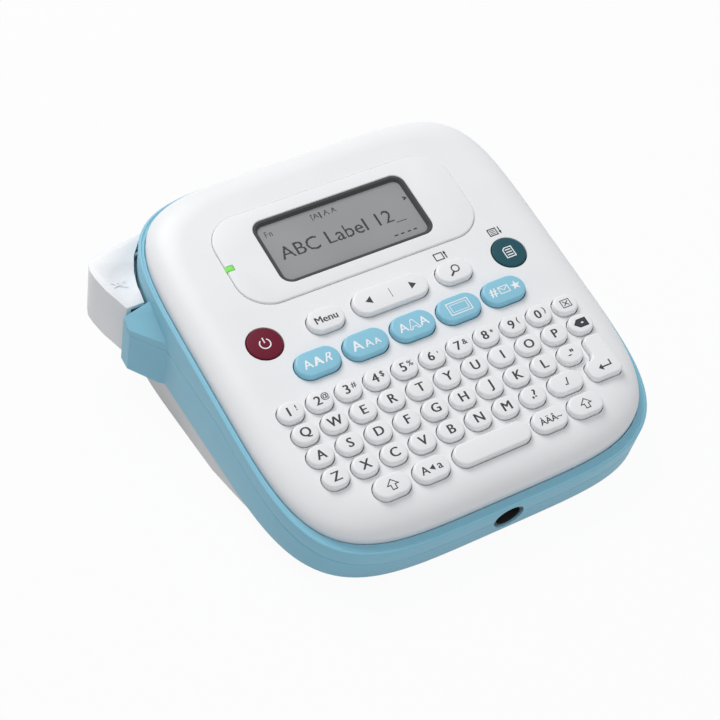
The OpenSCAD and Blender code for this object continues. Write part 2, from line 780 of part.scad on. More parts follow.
// Outline of the lever: up its left side, round the corner and along the rear
function lever_outline(g) = [
    [-half_w + 1, lever_front + g], [lever_left + 5 + g, lever_front + g], [lever_left + 1.6 + g, 56],
    [lever_left + 0.3 + g, 62], [lever_left + g, rear_y - 12], [lever_left + 1 + g, rear_y - 9 - g],
    [lever_left + 4, rear_y - 7.2 - g], [-62, rear_y - 4.4 - g], [-53, rear_y - 2.4 - g],
    [-50, rear_y - 8], [-58, rear_y - 14]];
module cutter_lever() {
    low = -lever_top - lever_h;
    color(white) difference() {
        intersection() {
            union() {
                difference() {
                    block_of(lever_outline(0), low, -lever_top);
                    intersection() {
                        block_of(lever_outline(lever_t), -far, -lever_top - lever_t);
                        across(before_rear(lever_t));
                    }
                }
                // Boss that turns on the pin
                intersection() {
                    post_along_x(pin_y, pin_w, lever_pin_r + 1.8, lever_left + 1, -half_w + 2.9);
                    block_of(lever_outline(0), low, -lever_top);
                }
                // Rib that pushes the blade's carriage
                box([blade_x - 2.5, 63.4, pin_w - 4], [blade_x + 3, 65.2, -lever_top - 1]);
            }
            across(before_rear(0));
        }
        case_prism(-1.1, -far, far);
        // The blade and its carriage come out through the front
        box([blade_x - 2.6, lever_front - 1, -far], [far, lever_front + lever_t + 0.1, -lever_top - lever_t]);
        post_along_x(pin_y, pin_w, lever_pin_r + run_gap, lever_left + 3, far);
        // Shallow dish for the thumb
        translate([-half_w - 1, 58, -lever_top + 20]) sphere(r = 21.2, $fn = 64);
    }
}
module cutter_pin() {
    color(steel) post_along_x(pin_y, pin_w, lever_pin_r, lever_left + 3.4, -half_w + 17);
}
carriage_high = blade_high + 1;
module cutter_carriage() {
    color(dark) difference() {
        box([blade_x - 2, blade_rest_y + 3.4, guide_w + 0.2], [blade_x + 2, 60, carriage_high]);
        box([blade_x - blade_t / 2, -far, blade_low], [blade_x + blade_t / 2, 57, far]);
    }
}
module cutter_blade() {
    color(steel) box([blade_x - blade_t / 2, blade_rest_y, blade_low], [blade_x + blade_t / 2, 57, blade_high]);
}
// Coil round the lever's pin, between the lever's boss and the wall
module cutter_spring() {
    color(steel) difference() {
        post_along_x(pin_y, pin_w, lever_pin_r + 0.5, -half_w + 3.2, -half_w + 5.4);
        post_along_x(pin_y, pin_w, lever_pin_r + 0.1, -far, far);
    }
}

// --- Power ---------------------------------------------------------------------------------------
cell_left = divider_x + divider_t + 4.5;
cell_w = ceiling - ceiling_t - 2.2 - cell_d / 2;
cell_mid_y = 21.6;
function cell_y(i) = cell_mid_y + (i - (cell_count - 1) / 2) * cell_pitch;
module battery_cells() {
    for (i = [0:cell_count - 1]) color(i % 2 == 0 ? "dimgray" : "gray") {
        post_along_x(cell_y(i), cell_w, cell_d / 2, cell_left, cell_left + cell_l - 0.8);
        post_along_x(cell_y(i), cell_w, 1.9, cell_left + cell_l - 0.8 - eps, cell_left + cell_l);
    }
}
contact_t = 0.4;
module battery_contacts() {
    color(steel) for (i = [0:cell_count - 1], x = [cell_left - 0.2 - contact_t, cell_left + cell_l + 0.2])
        box([x, cell_y(i) - 4, cell_w - 4], [x + contact_t, cell_y(i) + 4, ceiling - ceiling_t]);
}
module power_jack() {
    color(dark) difference() {
        union() {
            translate([0, front_y + 0.6, jack_w]) rotate([-90, 0, 0]) cylinder(r = nose_r, h = 5);
            box([-jack_body / 2, front_y + 5, jack_w - jack_body / 2],
                [jack_body / 2, front_y + 20, jack_w + jack_body / 2]);
        }
        translate([0, front_y - 1, jack_w]) rotate([-90, 0, 0]) cylinder(r = jack_r, h = jack_mouth + 1.6);
        translate([0, front_y, jack_w]) rotate([-90, 0, 0]) difference() {
            cylinder(r = 2.9, h = 15);
            cylinder(r = 0.9, h = 15);
        }
    }
}

on_deck() top_cover();
on_deck() display_bezel();
on_deck() display_window();
on_deck() status_lamp();
on_deck() upper_case();
on_deck() lower_case();
bottom_cover();
rubber_feet();
on_deck() lcd_module();
on_deck() keypad_mat();
on_deck() main_board();
on_deck() case_screws();
on_deck() cutter_lever();
on_deck() cutter_pin();
on_deck() cutter_carriage();
on_deck() cutter_blade();
on_deck() cutter_spring();
on_deck() cassette_case();
on_deck() label_roll();
on_deck() ribbon_supply();
on_deck() ribbon_takeup();
on_deck() label_tape();
on_deck() platen_roller();
on_deck() roller_holder();
on_deck() holder_pin();
on_deck() print_head();
on_deck() drive_motor();
on_deck() motor_pinion();
on_deck() transfer_gear();
on_deck() rewind_gear();
on_deck() idler_gear();
on_deck() platen_gear();
on_deck() gear_plate();
on_deck() battery_cells();
on_deck() battery_contacts();
on_deck() power_jack();
on_deck() color([0.45, 0.12, 0.22]) round_key(-round_x, command_y, round_d);  // power_key
on_deck() color([0.18, 0.35, 0.38]) round_key(round_x, command_y, round_d);  // print_key
for (i = [0:4]) on_deck() color(key_blue) style_key(i);
for (r = [0:3]) on_deck() color(white) key_row(r);
for (n = single_names) on_deck() color(white) single_key(n);
on_deck() color(white) enter_key();
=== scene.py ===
"""Looks of a desktop label maker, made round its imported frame."""

from __future__ import annotations

import json
import logging
import math
from dataclasses import dataclass, field
from enum import Enum
from typing import Any, Callable, Sequence

import bmesh
import bpy
from mathutils import Matrix, Vector

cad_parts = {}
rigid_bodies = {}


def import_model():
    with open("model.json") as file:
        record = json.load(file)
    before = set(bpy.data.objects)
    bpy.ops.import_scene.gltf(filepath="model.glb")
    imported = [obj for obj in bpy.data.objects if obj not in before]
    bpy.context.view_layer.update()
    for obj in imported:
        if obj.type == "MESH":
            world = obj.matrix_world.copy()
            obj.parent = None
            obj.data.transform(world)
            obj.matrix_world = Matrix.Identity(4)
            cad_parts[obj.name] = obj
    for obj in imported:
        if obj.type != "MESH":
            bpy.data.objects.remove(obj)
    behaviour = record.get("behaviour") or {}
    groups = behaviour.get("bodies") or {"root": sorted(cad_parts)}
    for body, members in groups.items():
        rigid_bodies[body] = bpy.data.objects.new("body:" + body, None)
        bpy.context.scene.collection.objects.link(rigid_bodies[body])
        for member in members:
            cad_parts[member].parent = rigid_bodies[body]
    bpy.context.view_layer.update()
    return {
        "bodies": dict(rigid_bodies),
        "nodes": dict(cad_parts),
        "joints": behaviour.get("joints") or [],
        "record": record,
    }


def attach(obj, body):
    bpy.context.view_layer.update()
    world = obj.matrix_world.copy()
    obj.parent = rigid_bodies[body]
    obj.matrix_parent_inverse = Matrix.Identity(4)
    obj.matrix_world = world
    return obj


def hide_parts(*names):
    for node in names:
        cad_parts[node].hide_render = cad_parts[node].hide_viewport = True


LOG = logging.getLogger("label_maker")
MM = 0.001
INK_T = 0.05
ROCKER_PIVOT = (0.0, 5.3, -3.2)

Point = tuple[float, float]
Ring = list[Vector]


# --- Frame ---------------------------------------------------------------------------------------
@dataclass(frozen=True)
class Deck:
    """The deck's own frame in millimetres: x across, y up the slope, w square to the deck."""

    tilt: float
    origin: Vector
    nodes: dict[str, bpy.types.Object]

    @classmethod
    def of(cls, frame: dict[str, Any]) -> "Deck":
        """Finds the deck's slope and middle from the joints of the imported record.


        Returns:
            The deck's frame.
        """
        joints = {j["name"]: j for j in frame["joints"]}
        press = joints["menu_key_press"]["axis"]
        tilt = math.atan2(press[1], -press[2])
        turn = Matrix.Rotation(tilt, 3, "X")
        origin = Vector(joints["cursor_rock"]["pos_m"]) - turn @ (Vector(ROCKER_PIVOT) * MM)
        return cls(tilt, origin, frame["nodes"])

    @property
    def matrix(self) -> Matrix:
        """Takes a point from the deck's frame to the row frame."""
        return Matrix.Translation(self.origin) @ Matrix.Rotation(self.tilt, 4, "X") @ Matrix.Scale(MM, 4)

    def extent(self, node: str, top_only: bool = False) -> tuple[Vector, Vector]:
        """Gives a CAD node's box in the deck's frame.

        Args:
            node: The node's name.
            top_only: Whether only the node's highest face counts.

        Returns:
            The lowest and the highest corner, in millimetres.
        """
        back = self.matrix.inverted()
        points = [back @ v.co for v in self.nodes[node].data.vertices]
        if top_only:
            level = max(p.z for p in points) - 0.05
            points = [p for p in points if p.z > level]
        low = Vector(min(p[i] for p in points) for i in range(3))
        high = Vector(max(p[i] for p in points) for i in range(3))
        return low, high


# --- Outlines ------------------------------------------------------------------------------------
@dataclass(frozen=True)
class Rounded:
    """A closed outline of straight sides and round corners, anticlockwise."""

    corners: tuple[Point, ...]
    radius: float
    steps: int = 7

    @classmethod
    def plate(cls, x: float, y: float, w: float, l: float, r: float, steps: int = 7) -> "Rounded":
        """A rectangle of width w and length l round (x, y), with corner radius r."""
        a, b = w / 2, l / 2
        return cls(((x + a, y + b), (x - a, y + b), (x - a, y - b), (x + a, y - b)), r, steps)

    def ring(self, inset: float, level: float) -> Ring:
        """Gives the outline's points, moved inwards.

        Args:
            inset: How far inside the outline the ring runs.
            level: The ring's height.

        Returns:
            As many points for any inset.
        """
        points = [Vector(c) for c in self.corners]
        ring: Ring = []
        for i, corner in enumerate(points):
            u = (corner - points[i - 1]).normalized()
            v = (points[(i + 1) % len(points)] - corner).normalized()
            nu, nv = Vector((-u.y, u.x)), Vector((-v.y, v.x))
            side = 1.0 if u.x * v.y - u.y * v.x > 0 else -1.0
            share = (nu + nv) / (1 + nu.dot(nv))
            r = max(self.radius - side * inset, 0.02)
            centre = corner + share * (inset + side * r)
            start = math.atan2(-side * nu.y, -side * nu.x)
            sweep = math.acos(max(-1.0, min(1.0, u.dot(v)))) * side
            for k in range(self.steps + 1):
                angle = start + sweep * k / self.steps
                ring.append(Vector((centre.x + r * math.cos(angle), centre.y + r * math.sin(angle), level)))
        return ring


@dataclass(frozen=True)
class Box:
    """A rectangle on the deck: its middle, its width and its length."""

    x: float
    y: float
    w: float
    l: float

    @classmethod
    def around(cls, corners: tuple[Vector, Vector]) -> "Box":
        """Takes the rectangle from its lowest and highest corners."""
        low, high = corners
        return cls((low.x + high.x) / 2, (low.y + high.y) / 2, high.x - low.x, high.y - low.y)

    def grown(self, by: float, r: float, steps: int) -> Rounded:
        """Gives its outline with round corners, made larger.

        Args:
            by: How much wider and longer it is, or narrower and shorter if negative.
            r: Radius of the corners.
            steps: Spans in each corner.

        Returns:
            The outline.
        """
        return Rounded.plate(self.x, self.y, self.w + by, self.l + by, r, steps)


@dataclass(frozen=True)
class Bowed:
    """The case's outline: between an ellipse and a rectangle, squarer at the rear."""

    half_w: float
    half_l: float
    y: float
    front_square: float = 4.5
    rear_square: float = 5.5
    count: int = 240

    def ring(self, inset: float, level: float) -> Ring:
        """Gives the outline's points, moved inwards, at one height."""
        a, b = self.half_w - inset, self.half_l - inset
        ring: Ring = []
        for i in range(self.count):
            t = 2 * math.pi * i / self.count
            n = self.front_square if math.sin(t) < 0 else self.rear_square
            r = (abs(math.cos(t) / a) ** n + abs(math.sin(t) / b) ** n) ** (-1 / n)
            ring.append(Vector((r * math.cos(t), self.y + r * math.sin(t), level)))
        return ring

    def share(self, p: Vector) -> float:
        """How far out a point lies: 1 on the outline."""
        y = p.y - self.y
        n = self.front_square if y < 0 else self.rear_square
        return (abs(p.x / self.half_w) ** n + abs(y / self.half_l) ** n) ** (1 / n)


# --- Meshes --------------------------------------------------------------------------------------
class Solid:
    """Vertices and faces in the deck's frame, gathered before they become a piece."""

    def __init__(self) -> None:
        """Starts empty."""
        self.points: list[Vector] = []
        self.faces: list[tuple[int, ...]] = []

    def loft(self, rings: Sequence[Ring], closed: bool = False) -> "Solid":
        """Joins rings of equal count with quads.

        Args:
            rings: The rings in order.
            closed: Whether the last ring joins the first, as in a hoop, and there are no end faces.

        Returns:
            This solid.
        """
        base, n = len(self.points), len(rings[0])
        for ring in rings:
            self.points.extend(ring)
        spans = len(rings) if closed else len(rings) - 1
        for s in range(spans):
            a, b = base + s * n, base + (s + 1) % len(rings) * n
            for i in range(n):
                j = (i + 1) % n
                self.faces.append((a + i, a + j, b + j, b + i))
        if not closed:
            self.faces.append(tuple(base + i for i in reversed(range(n))))
            self.faces.append(tuple(base + (len(rings) - 1) * n + i for i in range(n)))
        return self

    def prism(self, outline: Sequence[Point], low: float, high: float) -> "Solid":
        """Adds a straight prism on an outline."""
        return self.loft([[Vector((x, y, w)) for x, y in outline] for w in (low, high)])

    def add_mesh(self, mesh: bpy.types.Mesh, move: Matrix) -> "Solid":
        """Adds a mesh's faces, moved by a matrix."""
        base = len(self.points)
        self.points.extend(move @ v.co for v in mesh.vertices)
        self.faces.extend(tuple(base + i for i in p.vertices) for p in mesh.polygons)
        return self

    def mesh(self, name: str) -> bpy.types.Mesh:
        """Makes a mesh in the deck's frame, with its faces outwards."""
        mesh = bpy.data.meshes.new(name)
        mesh.from_pydata([tuple(p) for p in self.points], [], self.faces)
        return outwards(mesh)

    def scratch(self, name: str) -> bpy.types.Object:
        """Makes an object that only serves other pieces, in the deck's frame."""
        return link(bpy.data.objects.new(name, self.mesh(name)))


def outwards(mesh: bpy.types.Mesh, merge: float = 0.0) -> bpy.types.Mesh:
    """Turns a closed mesh's faces outwards.

    Args:
        mesh: The mesh.
        merge: The distance within which vertices become one, or 0 to leave them.

    Returns:
        The same mesh.
    """
    work = bmesh.new()
    work.from_mesh(mesh)
    if merge:
        bmesh.ops.remove_doubles(work, verts=work.verts, dist=merge)
    bmesh.ops.recalc_face_normals(work, faces=work.faces)
    work.to_mesh(mesh)
    work.free()
    return mesh


def link(obj: bpy.types.Object) -> bpy.types.Object:
    """Puts an object in the scene."""
    bpy.context.scene.collection.objects.link(obj)
    return obj


def evaluated(obj: bpy.types.Object) -> bpy.types.Mesh:
    """The object's mesh with its modifiers applied, as a new plain mesh."""
    graph = bpy.context.evaluated_depsgraph_get()
    return bpy.data.meshes.new_from_object(obj.evaluated_get(graph))


def carve(obj: bpy.types.Object, cutter: bpy.types.Object) -> None:
    """Cuts one object out of another, and removes the cutter."""
    cut = obj.modifiers.new("cut", "BOOLEAN")
    cut.operation = "DIFFERENCE"
    cut.solver = "EXACT"
    cut.object = cutter
    bpy.context.view_layer.update()
    mesh = evaluated(obj)
    obj.modifiers.clear()
    obj.data = mesh
    bpy.data.objects.remove(cutter)


# --- Shader maths --------------------------------------------------------------------------------
class Term:
    """A shader value whose operators add Math nodes."""

    def __init__(self, paint: "Paint", socket: bpy.types.NodeSocket) -> None:
        """Wraps an output socket."""
        self.paint = paint
        self.socket = socket

    def _math(self, operation: str, *values: Any) -> "Term":
        """Adds one Math node."""
        inputs = {i: v for i, v in enumerate(values)}
        return self.paint.node("ShaderNodeMath", {"operation": operation}, inputs)["Value"]

    def __add__(self, other: Any) -> "Term":
        """Sum."""
        return self._math("ADD", self, other)

    __radd__ = __add__

    def __mul__(self, other: Any) -> "Term":
        """Product."""
        return self._math("MULTIPLY", self, other)

    __rmul__ = __mul__

    def __sub__(self, other: Any) -> "Term":
        """Difference."""
        return self._math("SUBTRACT", self, other)

    def __rsub__(self, other: Any) -> "Term":
        """Reflected difference."""
        return self._math("SUBTRACT", other, self)

    def __gt__(self, other: Any) -> "Term":
        """1 where this is the greater."""
        return self._math("GREATER_THAN", self, other)

    def __abs__(self) -> "Term":
        """Size without sign."""
        return self._math("ABSOLUTE", self)

    def fraction(self) -> "Term":
        """What is left past the whole number."""
        return self._math("FRACT", self)


class Paint:
    """A material under construction."""

    def __init__(self, name: str) -> None:
        """Starts a material with its shader and its output."""
        self.material = bpy.data.materials.new(name)
        self.material.use_nodes = True
        self.tree = self.material.node_tree
        self.tree.nodes.clear()
        self.out = self.tree.nodes.new("ShaderNodeOutputMaterial")
        self.place = self.node("ShaderNodeTexCoord")["Object"]

    def node(self, kind: str, settings: dict[str, Any] | None = None,
             inputs: dict[Any, Any] | None = None) -> dict[str, Term]:
        """Adds a node.

        Args:
            kind: The node's type.
            settings: Its properties, set first; "stops" are a ramp's (place, colour) pairs.
            inputs: Values or terms for its input sockets, by name or number.

        Returns:
            Its outputs by name.
        """
        made = self.tree.nodes.new(kind)
        for key, value in (settings or {}).items():
            if key == "stops":
                ramp = made.color_ramp
                while len(ramp.elements) < len(value):
                    ramp.elements.new(0.5)
                for element, (at, colour) in zip(ramp.elements, value):
                    element.position = at
                    element.color = colour
            else:
                setattr(made, key, value)
        for key, value in (inputs or {}).items():
            socket = made.inputs[key]
            if isinstance(value, Term):
                self.tree.links.new(value.socket, socket)
            else:
                socket.default_value = value
        return {s.name: Term(self, s) for s in made.outputs}

    def noise(self, grain: float, detail: float = 2.0) -> Term:
        """Noise whose features are about grain millimetres across."""
        return self.node("ShaderNodeTexNoise", {}, {
            "Vector": self.place, "Scale": 1 / (grain * MM), "Detail": detail})["Fac"]

    def axis(self, name: str) -> Term:
        """One coordinate of the surface, in metres."""
        return self.node("ShaderNodeSeparateXYZ", {}, {"Vector": self.place})[name]

    def bump(self, height: Term, strength: float, depth: float) -> Term:
        """A Bump node's normal, with its depth in millimetres."""
        return self.node("ShaderNodeBump", {}, {
            "Height": height, "Strength": strength, "Distance": depth * MM})["Normal"]

    def blend(self, factor: Term, low: "Colour", high: "Colour") -> Term:
        """A colour between two, by a factor from 0 to 1."""
        made = self.tree.nodes.new("ShaderNodeMix")
        made.data_type = "RGBA"
        self.tree.links.new(factor.socket, made.inputs[0])
        made.inputs[6].default_value = low.rgba
        made.inputs[7].default_value = high.rgba
        return Term(self, made.outputs[2])

    def finish(self, inputs: dict[str, Any]) -> bpy.types.Material:
        """Adds the main shader and gives back the material."""
        made = self.node("ShaderNodeBsdfPrincipled", {}, inputs)
        self.tree.links.new(made["BSDF"].socket, self.out.inputs["Surface"])
        return self.material


@dataclass(frozen=True)
class Colour:
    """A display colour, from 0 to 1 in each channel."""

    r: float
    g: float
    b: float

    @property
    def rgba(self) -> tuple[float, float, float, float]:
        """The colour in linear light."""
        def lin(c: float) -> float:
            return c / 12.92 if c <= 0.04045 else ((c + 0.055) / 1.055) ** 2.4
        return lin(self.r), lin(self.g), lin(self.b), 1.0

    def times(self, k: float) -> "Colour":
        """A darker or lighter colour of the same hue."""
        return Colour(min(self.r * k, 1), min(self.g * k, 1), min(self.b * k, 1))


class Finish:
    """Base of the finishes: each makes its material once."""

    label: str

    def make(self, paint: Paint) -> bpy.types.Material:
        """Builds the nodes of the material."""
        raise NotImplementedError

    def material(self) -> bpy.types.Material:
        """Makes the material, or finds the one made before."""
        name = "finish_" + self.label
        return bpy.data.materials.get(name) or self.make(Paint(name))


@dataclass(frozen=True)
class Moulded(Finish):
    """Moulded plastic with a fine spark-eroded grain."""

    label: str
    colour: Colour
    roughness: float = 0.42
    grain: float = 0.35
    depth: float = 0.02
    coat: float = 0.0
    specular: float = 0.4

    def make(self, paint: Paint) -> bpy.types.Material:
        """Builds the nodes."""
        mottle = paint.noise(18.0, 3.0)
        fine = paint.noise(self.grain, 2.0)
        return paint.finish({
            "Base Color": paint.blend(mottle, self.colour.times(0.985), self.colour.times(1.01)),
            "Roughness": self.roughness - 0.05 + fine * 0.1,
            "Normal": paint.bump(fine, 0.35, self.depth),
            "Coat Weight": self.coat,
            "Coat Roughness": 0.25,
            "Specular IOR Level": self.specular,
        })


@dataclass(frozen=True)
class Rubber(Finish):
    """Matt rubber with a dusty grain."""

    label: str
    colour: Colour

    def make(self, paint: Paint) -> bpy.types.Material:
        """Builds the nodes."""
        fine = paint.noise(0.6, 4.0)
        return paint.finish({
            "Base Color": paint.blend(fine, self.colour.times(0.8), self.colour.times(1.25)),
            "Roughness": 0.72 + fine * 0.15,
            "Normal": paint.bump(fine, 0.4, 0.05),
        })


@dataclass(frozen=True)
class Metal(Finish):
    """Plain or brushed metal, with streaks along one axis."""

    label: str
    colour: Colour
    roughness: float = 0.32

    def make(self, paint: Paint) -> bpy.types.Material:
        """Builds the nodes."""
        stretched = paint.node("ShaderNodeMapping", {}, {
            "Vector": paint.place, "Scale": (900.0, 60.0, 900.0)})["Vector"]
        streak = paint.node("ShaderNodeTexNoise", {}, {"Vector": stretched, "Scale": 4.0})["Fac"]
        return paint.finish({
            "Base Color": paint.blend(streak, self.colour.times(0.85), self.colour.times(1.08)),
            "Metallic": 1.0,
            "Roughness": self.roughness - 0.1 + streak * 0.2,
            "Normal": paint.bump(streak, 0.2, 0.01),
        })


@dataclass(frozen=True)
class Circuit(Finish):
    """Solder mask over copper tracks."""

    label: str
    colour: Colour

    def make(self, paint: Paint) -> bpy.types.Material:
        """Builds the nodes."""
        track = (abs((paint.axis("X") * 420.0).fraction() - 0.5) > 0.36)
        cross = (abs((paint.axis("Y") * 260.0 + paint.noise(9.0) * 2.0).fraction() - 0.5) > 0.42)
        copper = track * 0.6 + cross * 0.4
        return paint.finish({
            "Base Color": paint.blend(copper, self.colour, self.colour.times(1.8)),
            "Roughness": 0.42 - copper * 0.12,
            "Normal": paint.bump(copper, 0.5, 0.03),
        })


@dataclass(frozen=True)
class Sleeve(Finish):
    """A battery's printed sleeve: a dark body and a lighter band at one end."""

    label: str
    colour: Colour
    band: Colour
    band_from: float

    def make(self, paint: Paint) -> bpy.types.Material:
        """Builds the nodes."""
        band = paint.axis("X") > self.band_from
        fine = paint.noise(1.2)
        return paint.finish({
            "Base Color": paint.blend(band, self.colour, self.band),
            "Roughness": 0.25 + fine * 0.1,
            "Coat Weight": 0.4,
        })


@dataclass(frozen=True)
class Panel(Finish):
    """The liquid crystal panel: grey, a little mottled, behind a smooth sheet."""

    label: str
    colour: Colour

    def make(self, paint: Paint) -> bpy.types.Material:
        """Builds the nodes."""
        shade = paint.noise(30.0, 1.0)
        cell = paint.noise(0.5, 0.0)
        return paint.finish({
            "Base Color": paint.blend(shade, self.colour.times(0.93), self.colour.times(1.06)),
            "Roughness": 0.34 + cell * 0.08,
            "Specular IOR Level": 0.2,
        })


@dataclass(frozen=True)
class Lamp(Finish):
    """A light pipe that glows a little."""

    label: str
    colour: Colour

    def make(self, paint: Paint) -> bpy.types.Material:
        """Builds the nodes."""
        cloud = paint.noise(0.8)
        tint = paint.blend(cloud, self.colour.times(0.9), self.colour.times(1.1))
        return paint.finish({
            "Base Color": tint, "Roughness": 0.3 + cloud * 0.05,
            "Emission Color": tint, "Emission Strength": 0.12,
        })


WHITE = Moulded("white_plastic", Colour(0.945, 0.945, 0.95), 0.42)
KEY_WHITE = Moulded("white_keys", Colour(0.95, 0.95, 0.955), 0.34, 0.5, 0.01)
BLUE = Moulded("blue_case", Colour(0.565, 0.79, 0.87), 0.46, specular=0.25)
BLUE_KEY = Moulded("blue_keys", Colour(0.56, 0.79, 0.875), 0.34, 0.5, 0.01, 0.0, 0.35)
TRAY = Moulded("pale_grey", Colour(0.89, 0.885, 0.885), 0.5)
RED = Moulded("power_red", Colour(0.43, 0.11, 0.19), 0.42, 0.5, 0.01, 0.0, 0.12)
TEAL = Moulded("print_teal", Colour(0.16, 0.33, 0.37), 0.42, 0.5, 0.01, 0.0, 0.12)
FRAME_GREY = Moulded("window_frame", Colour(0.30, 0.305, 0.305), 0.4, 0.5, 0.008, 0.0, 0.12)
BLACK = Moulded("black_plastic", Colour(0.13, 0.13, 0.14), 0.45)
IVORY = Moulded("gear_ivory", Colour(0.90, 0.87, 0.79), 0.4)
PAPER = Moulded("label_white", Colour(0.95, 0.95, 0.94), 0.3, 0.9, 0.006)
INK = Moulded("dark_print", Colour(0.20, 0.20, 0.22), 0.5, 0.4, 0.004)
WHITE_INK = Moulded("white_print", Colour(0.97, 0.97, 0.97), 0.45, 0.4, 0.004)
PIXEL = Moulded("panel_dots", Colour(0.17, 0.18, 0.19), 0.4, 0.3, 0.002)
LCD = Panel("lcd_grey", Colour(0.60, 0.605, 0.61))
GREEN = Lamp("lamp_green", Colour(0.50, 0.86, 0.36))
SOFT_BLACK = Rubber("soft_black", Colour(0.14, 0.14, 0.15))
SILICONE = Rubber("silicone", Colour(0.78, 0.78, 0.79))
STEEL = Metal("steel", Colour(0.74, 0.75, 0.77))
BRASS = Metal("brass", Colour(0.82, 0.66, 0.34), 0.28)
BOARD = Circuit("circuit_board", Colour(0.10, 0.36, 0.24))
CELL = Sleeve("cell_sleeve", Colour(0.24, 0.25, 0.28), Colour(0.80, 0.62, 0.30), 0.058)


class Slot(Enum):
    """The record's material slots, with the finish of each."""

    WHITE_PLASTIC = ("white_plastic", WHITE)
    BLUE_CASE = ("blue_case", BLUE)
    BLUE_KEY = ("blue_key", BLUE_KEY)
    GREY_TRAY = ("grey_tray", TRAY)
    RUBBER = ("rubber", SOFT_BLACK)
    POWER_RED = ("power_red", RED)
    PRINT_TEAL = ("print_teal", TEAL)
    WINDOW_DARK = ("window_dark", FRAME_GREY)
    LAMP_GREEN = ("lamp_green", GREEN)
    LCD_GLASS = ("lcd_glass", LCD)
    SILICONE = ("silicone", SILICONE)
    BOARD_GREEN = ("board_green", BOARD)
    LABEL_WHITE = ("label_white", PAPER)
    STEEL = ("steel", STEEL)
    BLACK_PLASTIC = ("black_plastic", BLACK)
    GEAR_WHITE = ("gear_white", IVORY)
    BRASS = ("brass", BRASS)
    CELL_WRAP = ("cell_wrap", CELL)

    @property
    def title(self) -> str:
        """The slot's name in the record."""
        return self.value[0]

    @property
    def finish(self) -> Finish:
        """The finish that dresses it."""
        return self.value[1]


# --- Workshop ------------------------------------------------------------------------------------
@dataclass
class Workshop:
    """Turns meshes in the deck's frame into dressed pieces that ride on bodies."""

    deck: Deck
    made: int = 0

    def piece(self, name: str, mesh: bpy.types.Mesh, finish: Finish, body: str, slot: Slot | None = None,
              stands_for: Sequence[str] = (), crease: float = 35.0, local: bool = True) -> bpy.types.Object:
        """Finishes a piece.

        Args:
            name: The piece's name.
            mesh: Its mesh.
            finish: Its finish.
            body: The CAD body that it rides on.
            slot: The record's slot that it belongs to; not used.
            stands_for: The CAD nodes that it replaces.
            crease: Edges sharper than this, in degrees, stay sharp.
            local: Whether the mesh is in the deck's frame rather than the row frame.

        Returns:
            The object, at the origin.
        """
        if local:
            mesh.transform(self.deck.matrix)
        mesh.name = name
        mesh.materials.clear()
        mesh.materials.append(finish.material())
        for face in mesh.polygons:
            face.material_index = 0
        mesh.shade_smooth()
        mesh.set_sharp_from_angle(angle=math.radians(crease))
        obj = link(bpy.data.objects.new(name, mesh))
        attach(obj, body)
        if stands_for:
            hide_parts(*stands_for)
        self.made += 1
        LOG.info("%s: %d faces on %s", name, len(mesh.polygons), body)
        return obj


